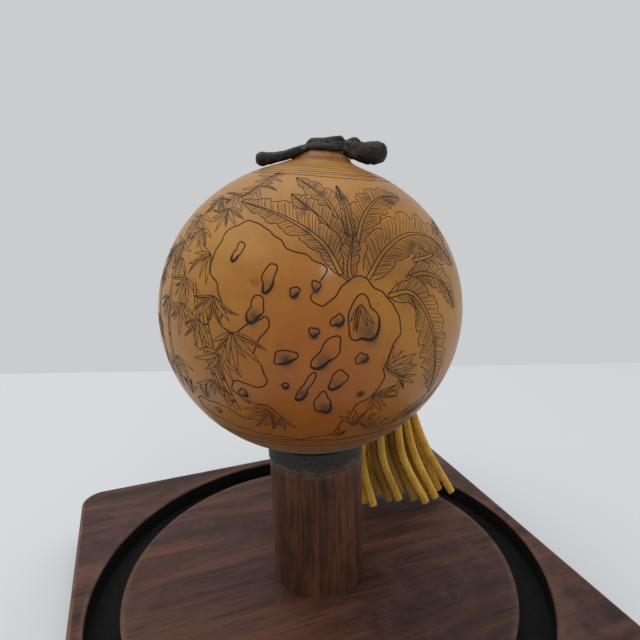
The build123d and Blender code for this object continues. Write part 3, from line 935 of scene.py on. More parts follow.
def front_picture():
    """The picture side: a pierced garden rock with plantain behind it and bamboo round it."""
    panel = Drawing(11)
    # Bamboo in front of the rock's foot and in its bays: foot, direction, leaves, length and spread
    for leaves in (
        ((-8.2, -11.6), 222, 6, 6.0, 150), ((-6.0, -13.2), 262, 4, 5.2, 90),
        ((-13.6, 3.4), 268, 8, 7.6, 128), ((-16.6, -0.8), 236, 8, 6.4, 170),
        ((-17.2, 9.6), 255, 7, 6.6, 150), ((12.6, -4.6), 8, 7, 6.2, 120), ((15.4, -7.2), 338, 6, 5.0, 140),
        ((10.4, -9.6), 312, 7, 5.4, 120), ((6.8, -16.6), 82, 5, 5.0, 100), ((9.6, -18.8), 66, 5, 5.6, 80),
        ((4.4, -19.6), 105, 4, 3.0, 90), ((8.4, 7.2), 264, 5, 4.4, 70), ((-20.6, 5.2), 246, 7, 6.0, 140),
        ((-19.4, -6.4), 262, 6, 5.4, 120),
    ):
        panel.spray(*leaves)
    panel.culm([(-14.6, -12.6), (-16.4, -6.0), (-18.0, 0.5), (-19.2, 7.0)], 0.9, 4)
    panel.culm([(-16.2, -12.2), (-18.4, -5.0), (-20.2, 3.0), (-22.0, 12.0)], 0.7, 5)
    # The long leaf that lies over the rock
    panel.plantain([(5.6, 12.2), (2.6, 18.2), (-3.6, 23.4), (-13.6, 29.0)], (3.4, 4.6), 5)
    # Hollows of the rock: place, half sizes, direction, pinch and depth of shade
    for hole in (
        ((-12.4, 17.6), (2.1, 1.3), 62, 0.55, 0.10), ((-6.6, 12.6), (2.5, 1.15), 66, 0.10, 0.55),
        ((-9.0, 7.4), (2.2, 1.5), 58, 0.15, 0.85), ((-2.4, 10.0), (0.95, 0.65), 25, 0.0, 0.8),
        ((1.2, 10.8), (0.85, 0.75), 70, 0.1, 0.7), ((8.6, 4.6), (3.6, 2.7), 76, 0.0, 0.75),
        ((4.3, 5.0), (1.2, 0.8), 40, 0.0, 0.95), ((0.4, 3.4), (0.75, 0.75), 0, 0.0, 0.9),
        ((-4.6, -0.6), (1.9, 1.35), 24, 0.15, 1.0), ((2.4, -0.2), (3.0, 1.6), 48, 0.05, 0.8),
        ((8.0, -1.8), (1.0, 0.9), 0, 0.0, 0.95), ((-1.6, -6.4), (2.8, 1.2), 56, 0.5, 0.9),
        ((4.0, -5.2), (1.75, 1.35), 60, 0.0, 0.5), ((1.2, -9.8), (2.3, 1.55), 80, 0.12, 0.9),
        ((-4.9, -5.8), (0.6, 0.45), 10, 0.0, 0.6), ((-12.8, -7.9), (0.9, 0.7), 150, 0.0, 0.85),
        ((-19.8, -14.2), (0.7, 0.5), 160, 0.0, 0.25), ((7.8, -8.6), (0.5, 0.4), 20, 0.0, 0.8),
    ):
        panel.hollow(*hole)
    rock = [
        (-18.0, 14.0), (-17.2, 18.6), (-14.8, 22.4), (-10.6, 23.2), (-6.6, 21.2), (-3.6, 17.6), (0.6, 15.4),
        (3.4, 13.6), (1.6, 11.4), (0.4, 8.8), (2.0, 7.4), (4.2, 9.2), (6.6, 11.2), (9.6, 11.4), (12.2, 9.0),
        (14.4, 6.4), (15.4, 2.4), (14.0, -1.0), (12.2, -3.6), (12.0, -6.8), (9.8, -9.8), (6.4, -12.0),
        (4.4, -15.4), (2.6, -18.4), (-4.0, -19.6), (-12.0, -18.8), (-20.0, -17.4), (-25.0, -15.0),
        (-24.0, -12.2), (-18.4, -12.6), (-12.6, -14.4), (-7.8, -15.0), (-6.2, -13.0), (-8.4, -10.8),
        (-12.2, -9.6), (-14.8, -7.6), (-13.6, -5.4), (-10.2, -6.2), (-7.6, -5.4), (-8.4, -3.2), (-9.8, -0.4),
        (-8.8, 2.2), (-6.8, 4.6), (-7.6, 6.4), (-9.8, 5.0), (-12.8, 3.4), (-15.4, 4.6), (-15.2, 8.0),
        (-16.2, 10.6),
    ]
    panel.rock(rock)
    # Plantain behind the rock, front leaves first
    for leaf in (
        ([(7.2, 10.2), (7.0, 14.0), (8.6, 19.6)], (2.6, 2.4), 3),
        ([(13.4, 8.2), (18.6, 8.0), (22.6, 2.0), (24.6, -7.0), (24.8, -15.0)], (4.6, 5.6), 8),
        ([(9.6, 10.8), (14.4, 16.4), (21.0, 19.6), (28.6, 18.6), (35.0, 12.4)], (6.4, 6.6), 8),
        ([(17.6, 10.8), (22.6, 11.4), (28.0, 9.0), (31.6, 3.0)], (3.6, 3.6), 6),
        ([(8.0, 17.0), (7.9, 24.0), (7.0, 31.4)], (1.5, 1.5), 2),
        ([(8.6, 17.0), (11.4, 23.4), (16.6, 28.6), (22.6, 29.6)], (4.6, 5.0), 6),
        ([(6.8, 14.6), (3.6, 21.6), (-2.6, 29.2)], (3.6, 3.8), 5),
        ([(7.0, 18.0), (4.4, 27.0), (-1.6, 34.6)], (3.4, 3.4), 5),
        ([(20.0, 14.0), (27.0, 15.6), (34.0, 22.0), (37.0, 27.0)], (4.0, 4.4), 6),
    ):
        panel.plantain(*leaf)
    # Bamboo behind, to the left and along the top
    for leaves in (
        ((-18.6, 17.4), 218, 7, 6.4, 150), ((-24.6, 13.0), 250, 7, 6.8, 140),
        ((-29.0, -3.6), 280, 6, 6.4, 110), ((-31.0, 9.0), 262, 7, 6.6, 130),
        ((-22.4, 23.6), 240, 7, 6.2, 150), ((-16.6, 27.6), 262, 8, 6.0, 170),
        ((-28.4, 21.6), 236, 8, 7.0, 150), ((-10.6, 33.0), 290, 7, 5.6, 220),
        ((-20.0, 32.0), 250, 7, 6.0, 160), ((-36.0, 15.6), 262, 7, 6.6, 140),
        ((-27.0, -12.6), 84, 5, 6.4, 70), ((-21.8, -11.6), 92, 4, 4.2, 60),
        ((-27.0, 17.2), 232, 7, 6.0, 150), ((-25.6, 8.0), 262, 7, 6.4, 130),
        ((-15.0, 31.6), 250, 8, 5.6, 190), ((-25.0, 28.0), 244, 8, 6.4, 160),
        ((-33.0, 20.0), 250, 8, 6.4, 150), ((-7.6, 36.4), 276, 7, 4.6, 240),
        ((-38.0, 4.0), 262, 7, 6.6, 130), ((-33.6, -10.0), 80, 6, 6.0, 100),
    ):
        panel.spray(*leaves)
    panel.culm([(-30.0, -12.0), (-30.6, 4.0), (-28.0, 20.0), (-20.0, 33.0)], 0.8, 6)
    panel.culm([(-34.0, -8.0), (-36.4, 8.0), (-34.0, 22.0)], 0.7, 5)
    # Brown rubbed into the rock, and painted shade that darkens it towards the ground
    for patch in (
        ((-1, 2), 12, 0.7), ((4, -5), 9, 0.6), ((0, -18), 10, 0.6), ((-14, -14), 9, 0.45), ((0, -6), 22, 0.3),
    ):
        panel.stain(*patch)
    # Ground at the lower right
    for _ in range(26):
        start = np.array([panel.random.uniform(8, 26), panel.random.uniform(-21.5, -17.5)])
        reach = panel.random.uniform(3, 8)
        blade = start + heading(14 + start[0]) * np.linspace(0, reach, 12)[:, None]
        panel.line(blade, panel.stroke["ground"], 0.5)
    return panel


def back_picture():
    """The other side: a low rock with bamboo over it and open skin."""
    panel = Drawing(23)
    for leaves in (
        ((-8.0, 2.0), 250, 8, 7.0, 150), ((-3.0, 10.0), 262, 8, 7.2, 150), ((4.6, 5.0), 282, 7, 6.8, 140),
        ((-13.0, 12.0), 240, 7, 6.6, 150), ((1.0, 19.0), 262, 8, 6.8, 160), ((10.0, 15.0), 300, 7, 6.4, 140),
        ((-10.0, 22.0), 232, 7, 6.4, 150), ((14.0, -12.0), 70, 6, 5.4, 110),
        ((-18.0, -13.0), 100, 6, 5.6, 110), ((32.0, 6.0), 262, 8, 7.0, 150),
        ((36.0, 14.0), 250, 8, 6.8, 150), ((39.0, 4.0), 282, 7, 6.6, 140), ((41.0, 18.0), 290, 8, 6.6, 150),
        ((34.0, 21.0), 240, 7, 6.2, 150), ((38.0, -6.0), 262, 7, 6.4, 130),
        ((-34.0, 10.0), 262, 8, 7.0, 150), ((-39.0, 2.0), 250, 7, 6.6, 140),
        ((-42.0, 14.0), 262, 8, 6.8, 150), ((-36.0, 20.0), 285, 7, 6.4, 150),
        ((-33.0, -3.0), 275, 7, 6.4, 130), ((-28.0, -14.0), 96, 6, 5.0, 110),
        ((27.0, -15.0), 84, 6, 5.0, 110),
    ):
        panel.spray(*leaves)
    panel.culm([(-3.0, -14.0), (-4.4, -2.0), (-2.6, 12.0), (2.0, 26.0)], 1.0, 6)
    panel.culm([(1.0, -14.0), (2.4, -3.0), (6.4, 9.0), (12.0, 20.0)], 0.8, 6)
    panel.culm([(33.0, -15.0), (34.6, -2.0), (36.4, 11.0), (40.0, 24.0)], 0.9, 6)
    panel.culm([(-34.0, -14.0), (-36.0, -2.0), (-38.0, 10.0), (-37.0, 24.0)], 0.9, 6)
    for hole in (
        ((-8.0, -13.0), (2.2, 1.4), 30, 0.2, 0.8), ((-2.0, -16.0), (1.3, 1.0), 0, 0.0, 0.7),
        ((5.0, -14.4), (2.4, 1.3), 150, 0.3, 0.8), ((9.6, -17.0), (1.0, 0.8), 0, 0.0, 0.5),
    ):
        panel.hollow(*hole)
    rock = [
        (-15.0, -19.0), (-15.6, -14.0), (-12.0, -9.6), (-8.0, -8.6), (-5.0, -11.0), (-1.0, -12.4),
        (2.0, -10.2), (6.0, -9.0), (9.6, -11.6), (13.6, -14.6), (13.8, -19.0), (4.0, -20.0), (-6.0, -20.0),
    ]
    panel.rock(rock)
    return panel


# Rings cut round the gourd's top and its foot: radius, waver and width of line
TOP_RINGS = (
    (9.4, 0.10, 0.5), (10.9, 0.12, 0.6), (12.2, 0.12, 0.5), (13.4, 0.10, 0.8), (14.3, 0.12, 0.6),
    (15.3, 0.10, 0.9),
)
FOOT_RINGS = ((29.6, 0.15, 0.9), (28.7, 0.25, 0.7), (27.2, 0.15, 0.9))


def polar_rings(seed, rings, stain, wash):
    """Rings round the top or the foot, with brown and thinned ink rubbed in up to them; at the foot these
    tones are painted shade that darkens the underside.
    """
    panel = Drawing(seed)
    for ring in rings:
        panel.ring(*ring)
    reach = max(radius for radius, *_ in rings)
    panel.stain((0, 0), 1.15 * reach, stain)
    panel.wash((0, 0), 0.8 * reach, wash)
    return panel


def gourd_panels(settings):
    """The drawings with the directions of their panels: what each faces, its right and its up."""
    turn = Matrix.Rotation(settings.picture_turn, 3, "Z")
    turn = np.array(Matrix.Rotation(settings.picture_lean, 3, turn @ Vector(-BACK)) @ turn)
    return {
        "picture_front": (front_picture(), turn @ -BACK, turn @ RIGHT, turn @ UP),
        "picture_back": (back_picture(), BACK, -RIGHT, UP),
        "rings_top": (polar_rings(5, TOP_RINGS, 0.05, 0.1), MOUTH_AXIS, ALONG, BACK),
        # The foot's brown and thinned ink darken the underside as painted shade
        "rings_foot": (polar_rings(7, FOOT_RINGS, 0.6, 1.0), -UP, RIGHT, -BACK),
    }


# Operators


class GOURD_OT_stand(bpy.types.Operator):
    """Build the base, the post and the seat ring"""

    bl_idname = "gourd.stand"
    bl_label = "Stand"

    # Base: rows of points on its top, rounding of the groove's rims and floor, lower edge and depth of dents
    top_rows = (0, 12, 18, 24, 30, 36, 42, 45.4)
    rim, floor_bend, low_edge, dent = 0.5, 0.3, 0.6, 0.12
    # Post and seat: unevenness as a share of the radius, and height of the rubbed bands
    uneven, band = 0.004, 1.6
    # Seat: room under the gourd, bore, width of its lip, and rounding of its lower and upper edge
    room, bore, lip, foot_edge, top_edge = 0.3, 5.5, 1.6, 0.3, 0.7

    def execute(self, context):
        settings = context.scene.gourd_stand
        self.base(settings)
        self.post(settings)
        self.seat(settings, context.scene.gourd_skin)
        return {"FINISHED"}

    def base(self, settings):
        """A slab with round corners, worn edges and a stained ring groove."""
        half, _, top = box_of("base_block")[1]
        edge, corner = in_mm(settings, "edge", "corner")
        inner, outer, floor = in_mm(settings, "groove_inner", "groove_outer", "groove_floor")
        # Angles of a quarter of the outline, closer together round its corners
        quarter = [np.linspace(*span) for span in ((-45, 45, 91), (-48.5, -41.5, 25), (41.5, 45, 13))]
        turns = np.round(np.concatenate(quarter)[:, None] + np.arange(0, 360, 90), 3)
        angles = np.radians(np.unique(turns % 360))

        def square(inset):
            """Distance to the slab's outline, inset by a margin, at each angle."""
            side, bend = half - inset, max(corner - inset, 0.1)
            fold = np.abs((angles + math.pi / 4) % (math.pi / 2) - math.pi / 4)
            middle = side - bend
            difference = middle * (np.cos(fold) - np.sin(fold))
            root = np.sqrt(np.maximum(bend**2 - difference**2, 0))
            straight = side * np.tan(fold) <= middle
            return np.where(straight, side / np.cos(fold), middle * (np.cos(fold) + np.sin(fold)) + root)

        circle = np.ones(len(angles))
        rim, bend, low = self.rim, self.floor_bend, self.low_edge
        groove = (
            (inner, top - rim), (inner, floor + bend), (inner + bend, floor),
            (outer - bend, floor), (outer, floor + bend), (outer, top - rim),
        )

        def rings(profile, wear, stain):
            """Round rows through a profile of radius and height."""
            return [(radius * circle, height, wear, stain) for radius, height in profile]

        # Rows from the middle of the top to the middle of the underside: distance, height, wear and stain
        rows = rings([(radius, top) for radius in self.top_rows], 0, 0)
        rows += rings(arc((inner - rim, top - rim), rim, 90, 10), 0.8, 0.1)
        rows += rings(groove, 0, 1)
        rows += rings(arc((outer + rim, top - rim), rim, 170, 90), 0.8, 0.1)
        for share in (0.3, 0.65, 1.0):
            rows.append(((outer + rim) * (1 - share) + square(edge) * share, top, 0, 0))
        for angle in np.radians((15, 32, 50, 68, 90)):
            rows.append((square(edge * (1 - math.sin(angle))), top - edge * (1 - math.cos(angle)), 1, 0))
        rows += [(square(0), top * share, 0.1, 0) for share in (0.75, 0.5, 0.25)]
        rows += [(square(0), low, 0.8, 0), (square(low), 0, 0.8, 0)]
        rows += [(0.5 * square(0), 0, 0, 0), (0 * circle, 0, 0, 0)]
        distance, heights, wear, stain = (np.array([value * circle for value in row]) for row in zip(*rows))
        points = np.stack([distance * np.cos(angles), distance * np.sin(angles), heights], -1)
        dents = np.clip(mottle(points, 0.21) - 0.15, 0, 1) * (heights > top / 2)
        points[..., 2] -= self.dent * wear * dents
        faces = grid_faces(*distance.shape)
        base = new_piece("base_block_wood", points, faces, base_wood(settings), 32, wear=wear, stain=stain)
        finish_piece(base, "stand", "base_wood", "base_block")

    def post(self, settings):
        """A turned post, a little uneven, with a rubbed rim."""
        foot, top, radius = box_of("base_block")[1][2], box_of("seat_ring")[0][2], box_of("post")[1][0]
        profile = [(0, foot), (radius, foot)]
        profile += [(radius, height) for height in np.linspace(foot, top - 0.5, 26)[1:]]
        profile += [(radius - 0.1, top - 0.2), (radius - 0.4, top), (radius * 0.5, top), (0, top)]
        points, faces = lathe(profile, 144)
        points[..., :2] *= 1 + self.uneven * mottle(points * (1, 1, 0.12), 0.5)[..., None]
        wear = np.clip((points[..., 2] - (top - self.band)) / self.band, 0, 1) ** 1.5
        post = new_piece("post_wood", points, faces, post_wood(settings), 40, wear=wear)
        finish_piece(post, "stand", "post_wood", "post")

    def seat(self, settings, gourd):
        """A leather-dark ring hollowed to the gourd's belly."""
        low, (radius, _, high) = box_of("seat_ring")[0][2], box_of("seat_ring")[1]
        across, tall = (half + self.room for half in in_mm(gourd, "radius", "half_height"))
        centre, lip = gourd_centre(gourd)[2], radius - self.lip
        cup = [(r, centre - tall * math.sqrt(1 - (r / across) ** 2)) for r in np.linspace(lip, self.bore, 9)]
        foot, top = self.foot_edge, self.top_edge
        profile = [(self.bore, low), (radius - foot, low), *arc((radius - foot, low + foot), foot, -90, 0)]
        profile += [(radius, height) for height in np.linspace(low + 0.6, high - 1.0, 8)]
        profile += [*arc((radius - top, high - top), top, 0, 90), *cup, (self.bore, low)]
        points, faces = lathe(profile, 160)
        outside = np.hypot(points[..., 0], points[..., 1]) > lip
        points[..., :2] *= 1 + (self.uneven * mottle(points, 0.9) * outside)[..., None]
        wear = np.clip((low + 2.2 - points[..., 2]) / self.band, 0, 1) * outside
        seat = new_piece("seat_ring_leather", points, faces, seat_leather(settings), 50, wear=wear)
        finish_piece(seat, "seat", "seat_leather", "seat_ring")


def gourd_centre(settings):
    """Middle of the gourd, in millimetres."""
    return np.array([0.0, 0.0, (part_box("gourd_shell")[0][2] + settings.half_height) / MM])


def panel_places(points, centre, radius, facing, right, up):
    """Where points of the gourd lie on a panel."""
    ways = (points - centre) / np.linalg.norm(points - centre, axis=-1, keepdims=True)
    flat = np.stack([ways @ right, ways @ up], -1)
    reach = np.linalg.norm(flat, axis=-1, keepdims=True)
    return flat / np.maximum(reach, 1e-9) * radius * np.arccos(np.clip(ways @ facing, -1, 1))[..., None]


class GOURD_OT_shell(bpy.types.Operator):
    """Build the gourd's skin with its engraved pictures, and the collar in its mouth"""

    bl_idname = "gourd.shell"
    bl_label = "Gourd"

    # Points round the skin, rows of points on its outside and on its inside
    columns, outer_rows, inner_rows = 288, 210, 40
    # Unevenness of the skin as height, fineness and seed, and where it fades: near the mouth and at the seat
    swells = ((0.09, 0.06, 0.0), (0.025, 0.3, 5.0))
    mouth_fade, seat_level, seat_fade = 1.5, 52.5, 3
    # How the skin is drawn up to the collar: rise at the mouth's rim, where it starts, curve and tone, then
    # rows of radius and height
    rim_rise, rim_reach, rim_curve, rim_tone = 0.4, 9.8, 2.2, 0.4
    fillet = ((6.2, 0.58), (6.0, 0.8), (5.85, 1.05), (5.72, 1.3), (5.4, 1.1), (5.3, 0.02))
    # Collar as radius and height from the mouth: its bore, tenon and foot, and its shoulder
    collar_inside = ((3.0, 2.6), (3.0, -2.4), (4.35, -2.4), (4.35, 0), (5.2, 0), (6.05, 0))
    collar_shoulder = ((6.05, 0.35), (5.24, 1.74), (3.9, 2.6))
    # Fibres of the collar: how many, how fast they change upwards, and their depth
    fibres, fibre_change, fibre_depth = 9, 0.35, 0.11

    def execute(self, context):
        settings = context.scene.gourd_skin
        panels = gourd_panels(settings)
        skin = self.skin(settings, panels)
        self.engrave(settings, skin, panels)
        self.collar(settings)
        return {"FINISHED"}

    def skin(self, settings, panels):
        """The hollow shell, cut flat and bored at its mouth, with the washes and brown of its pictures, which
        are painted shade low down and at the foot.
        """
        centre, columns = gourd_centre(settings), self.columns
        radii = np.array(in_mm(settings, "radius", "radius", "half_height"))
        wall, bore = in_mm(settings, "wall", "bore")
        turns = np.arange(columns) * 2 * math.pi / columns
        ring = spokes(turns, ALONG, BACK)

        def surface(angles, inset):
            """Points of the shell at angles from the mouth's axis."""
            ways = spokes(angles, MOUTH_AXIS, ring)
            return centre + ways / np.linalg.norm(ways / (radii - inset), axis=-1, keepdims=True)

        rim, bottom = np.full(columns, 0.2), np.full(columns, 0.2)
        for _ in range(20):
            rim = np.arccos((MOUTH - centre) @ MOUTH_AXIS / np.linalg.norm(surface(rim, 0) - centre, axis=-1))
            bottom = np.arcsin(bore / np.linalg.norm(surface(bottom, wall) - centre, axis=-1))
        outer = surface(math.pi + (rim - math.pi) * np.linspace(0, 1, self.outer_rows)[:, None], 0)
        inner = surface(bottom + (math.pi - bottom) * np.linspace(0, 1, self.inner_rows)[:, None], wall)
        swell = sum(high * mottle(outer, fine, seed) for high, fine, seed in self.swells)
        fade = np.clip((MOUTH - outer) @ MOUTH_AXIS / self.mouth_fade, 0, 1)
        fade *= np.clip((outer[..., 2] - self.seat_level) / self.seat_fade, 0, 1)
        outer += (outer - centre) / radii[0] * (swell * fade)[..., None]
        over = outer - MOUTH
        reach = np.linalg.norm(over - (over @ MOUTH_AXIS)[..., None] * MOUTH_AXIS, axis=-1)
        near = np.clip((self.rim_reach - reach) / (self.rim_reach - reach[-1].mean()), 0, 1) ** self.rim_curve
        near *= (outer - centre) @ MOUTH_AXIS > 0
        outer += self.rim_rise * near[..., None] * MOUTH_AXIS
        fillet = [MOUTH + radius * ring + height * MOUTH_AXIS for radius, height in self.fillet]
        points = np.concatenate([outer, fillet, [MOUTH + bore * ring], inner])
        # Tones that the pictures lay on the skin; low down and at the foot they are painted shade
        tones = {name: np.zeros(points.shape[:2]) for name in ("wash", "stain")}
        for drawing, *axes in panels.values():
            places = panel_places(outer, centre, radii[0], *axes)
            for name, spots in (("wash", drawing.washes), ("stain", drawing.stains_and_shades)):
                clear = 1 - tones[name][: len(outer)]
                for across, high, radius, depth in spots:
                    distance = ((places - (across, high)) ** 2).sum(-1)
                    clear *= 1 - depth * np.exp(-distance / (1.2 * radius**2))
                tones[name][: len(outer)] = 1 - clear
        for values in tones.values():
            values[len(outer) : len(outer) + len(fillet)] = self.rim_tone
        faces = grid_faces(len(points), columns)
        skin = new_piece("gourd_skin", points, faces, gourd_skin(settings), 40, **tones)
        return finish_piece(skin, "gourd", "gourd_skin", "gourd_shell")

    def engrave(self, settings, skin, panels):
        """The pictures and the rings, wrapped over the skin."""
        tree, ink = engraved_lines(), engraving_ink(settings)
        for name, (drawing, facing, right, up) in panels.items():
            lines, widths = zip(*drawing.lines)
            values = {
                "Line Width": settings.line_width, "Line Depth": settings.line_depth,
                "Line Rise": settings.line_rise, "Gourd Radius": settings.radius,
                "Gourd Centre": gourd_centre(settings) * MM, "Facing": facing, "Panel Right": right,
                "Panel Up": up, "Gourd": skin, "Ink": ink,
            }
            piece = run_tree(name, lines, tree, values, stroke=np.concatenate(widths))
            finish_piece(piece, "gourd", "gourd_skin")

    def collar(self, settings):
        """The low ring in the mouth, ribbed by its fibres."""
        inside, top = self.collar_inside, self.collar_inside[0][1]
        profile = [*inside, *smooth_line(self.collar_shoulder, step=0.2), inside[0]]
        points, faces = lathe(profile, 240, MOUTH, (ALONG, BACK, MOUTH_AXIS))
        height = (points - MOUTH) @ MOUTH_AXIS
        side = points - MOUTH - height[..., None] * MOUTH_AXIS
        reach = np.linalg.norm(side, axis=-1, keepdims=True)
        rib = mottle(side / reach * self.fibres + MOUTH_AXIS * height[..., None] * self.fibre_change, 1.0)
        rib = np.where((height > 0.1) & (height < top - 0.05) & (reach[..., 0] > 3.5), rib, 0)
        points += side / reach * self.fibre_depth * np.minimum(rib, 0.3)[..., None]
        collar = new_piece("collar_wood", points, faces, collar_wood(settings), 40)
        finish_piece(collar, "gourd", "collar_wood", "mouth_collar")


class GOURD_OT_stopper(bpy.types.Operator):
    """Build the black stalk and finish the cork under it"""

    bl_idname = "gourd.stopper"
    bl_label = "Stopper"

    # Lumps of the stalk: place along it, height over the mouth, towards the back, and radius, in millimetres
    lumps = (
        (-12.0, 0.05, -0.3, 1.5), (-10.6, 0.25, -0.6, 1.3), (-9.2, 0.45, -1.0, 1.2), (-8.2, 0.7, -1.5, 1.15),
        (-7.3, 1.0, -2.0, 1.12), (-6.5, 1.35, -2.4, 1.1), (-5.8, 1.65, -2.8, 1.05), (-5.1, 1.95, -3.1, 1.0),
        (-4.4, 2.3, -3.3, 0.95), (-3.7, 2.6, -3.4, 0.9),
        (-2.6, 3.95, -1.7, 0.85), (-1.6, 4.1, -1.7, 0.9), (-0.4, 4.15, -1.7, 0.9), (0.7, 4.3, -1.7, 0.95),
        (1.6, 4.5, -1.7, 0.95), (2.4, 4.7, -1.7, 0.95), (3.2, 4.85, -1.6, 0.95),
        (-2.4, 3.75, -2.1, 0.7), (-1.2, 3.8, -2.2, 0.75), (0.0, 3.85, -2.2, 0.75), (1.2, 3.9, -2.2, 0.75),
        (2.4, 3.95, -2.1, 0.8), (3.3, 3.9, -2.1, 0.85), (4.4, 3.7, -1.8, 1.0), (4.5, 2.9, -2.7, 0.85),
        (5.2, 2.4, -2.5, 0.9), (5.9, 2.2, -2.2, 1.05), (5.3, 3.8, -1.4, 1.1), (6.0, 4.75, -1.0, 0.95),
        (6.6, 4.75, -1.0, 0.95), (6.4, 3.5, -1.3, 1.5), (7.0, 3.0, -1.2, 1.9), (8.0, 2.85, -1.1, 2.1),
        (9.2, 2.75, -1.0, 2.3), (10.4, 2.85, -0.8, 2.35), (11.4, 3.05, -0.5, 2.2),
    )
    # Rows of lumps that wrap round the front of the loop: distance from the axis, height and radius
    wraps = ((4.15, 3.0, 0.62), (3.75, 3.3, 0.6), (3.2, 3.5, 0.6))
    # How high the stalk's ridge may stand: place along it and height
    ridge_line = (
        (-14, 6), (-4, 3.6), (-3.4, 4), (-2.6, 4.75), (-1.5, 4.95), (0, 5.05), (1.4, 5.4), (2.6, 5.7),
        (3.3, 5.8), (3.9, 5.5), (4.6, 4.9), (5.2, 5.4), (6, 5.7), (6.6, 5.7), (7.2, 5.25), (7.6, 4.9),
        (8.9, 5.05), (12.1, 5.4),
    )
    # How low the stalk may reach over the collar and the skin round it: distance from the axis and height
    seat_line = (
        (0, 2.7), (3.9, 2.7), (4.6, 2.42), (5.24, 1.94), (5.72, 1.5), (6, 1), (6.2, 0.78), (6.45, 0.6),
        (7, 0.35), (8, -0.06), (9.8, -0.68),
    )
    # Where the stalk's thick end starts to round off, and how much of the rest is left
    blunt_end, blunt_share = 12.3, 0.72
    # Grain of the stalk's mesh, room between the stalk and the gourd, and radius of its dowel with some room
    voxel, room, dowel = 0.13, 0.2, 1.2

    def execute(self, context):
        settings = context.scene.gourd_skin
        shape = bmesh.new()
        shape.from_mesh(frame["nodes"]["stem_finial"].data)
        bmesh.ops.remove_doubles(shape, verts=shape.verts, dist=MERGE)
        for along, height, back, radius in (*self.lumps, *self.wrapped()):
            place = Vector((MOUTH + along * ALONG + height * MOUTH_AXIS + back * BACK) * MM)
            spot = Matrix.Translation(place)
            bmesh.ops.create_icosphere(shape, subdivisions=2, radius=radius * MM, matrix=spot)
        mesh = bpy.data.meshes.new("stalk")
        shape.to_mesh(mesh)
        shape.free()
        stalk = new_object("stalk_wood", mesh)
        remesh = stalk.modifiers.new("Remesh", "REMESH")
        remesh.mode, remesh.voxel_size = "VOXEL", self.voxel * MM
        smooth = stalk.modifiers.new("Smooth", "SMOOTH")
        smooth.factor, smooth.iterations = 0.5, 14
        settle(stalk)
        self.carve(stalk.data, settings)
        dress(stalk.data, stalk_wood(settings))
        finish_piece(stalk, "stopper", "stalk_wood", "stem_finial")
        plug = frame["nodes"]["stopper_plug"]
        plug.data.materials.clear()
        plug.data.materials.append(cork())
        return {"FINISHED"}

    def wrapped(self):
        """Lumps of the rows that wrap round the loop, thinner and higher towards their ends."""
        turns = np.radians(np.linspace(-76, 76, 25))
        for row, (reach, height, radius) in enumerate(self.wraps):
            for turn in turns:
                swell = 1 + 0.16 * math.sin(4.3 * turn + 2 * row) - 0.25 * abs(turn / 1.3) ** 4
                yield reach * math.sin(turn), height + 0.14 * turn, -reach * math.cos(turn), radius * swell

    def carve(self, mesh, settings):
        """Ridges along the stalk, kept clear of the collar and the gourd."""
        points = mesh_points(mesh)
        normals = np.empty(points.size)
        mesh.vertices.foreach_get("normal", normals)
        local = from_mouth(points)
        furrow = mottle(local * (0.45, 1.6, 1.6), 1.0)
        grit = mottle(local, 2.6, 3.0)
        ridge = 1 - 2 * np.abs(furrow)
        points += normals.reshape(-1, 3) * (0.06 * ridge + 0.02 * grit - 0.04)[:, None]
        centre = gourd_centre(settings)
        radii = np.array(in_mm(settings, "radius", "radius", "half_height")) + self.room
        depth = np.linalg.norm((points - centre) / radii, axis=1)
        local = from_mouth(points)
        reach = np.hypot(local[:, 0], local[:, 1])
        low = reach < self.seat_line[-1][0]
        lift = np.where((depth < 1) & ~low, 1 / np.maximum(depth, 0.5), 1)
        points = centre + (points - centre) * lift[:, None]
        floor = np.interp(reach, *np.transpose(self.seat_line))
        # The dowel in the middle goes down into the cork
        low &= reach > self.dowel
        points += MOUTH_AXIS * np.where(low, np.maximum(floor - local[:, 2], 0), 0)[:, None]
        ridge_top = np.interp(local[:, 0], *np.transpose(self.ridge_line))
        over = local[:, 2] - ridge_top + 0.1 * (local[:, 1] + 0.6) ** 2
        points -= MOUTH_AXIS * (0.9 * np.maximum(over, 0))[:, None]
        points -= ALONG * ((1 - self.blunt_share) * np.maximum(local[:, 0] - self.blunt_end, 0))[:, None]
        mesh.vertices.foreach_set("co", (points * MM).ravel())
        mesh.update()
        set_values(mesh, "ridge", np.clip(ridge + 0.3 * grit, 0, 1))


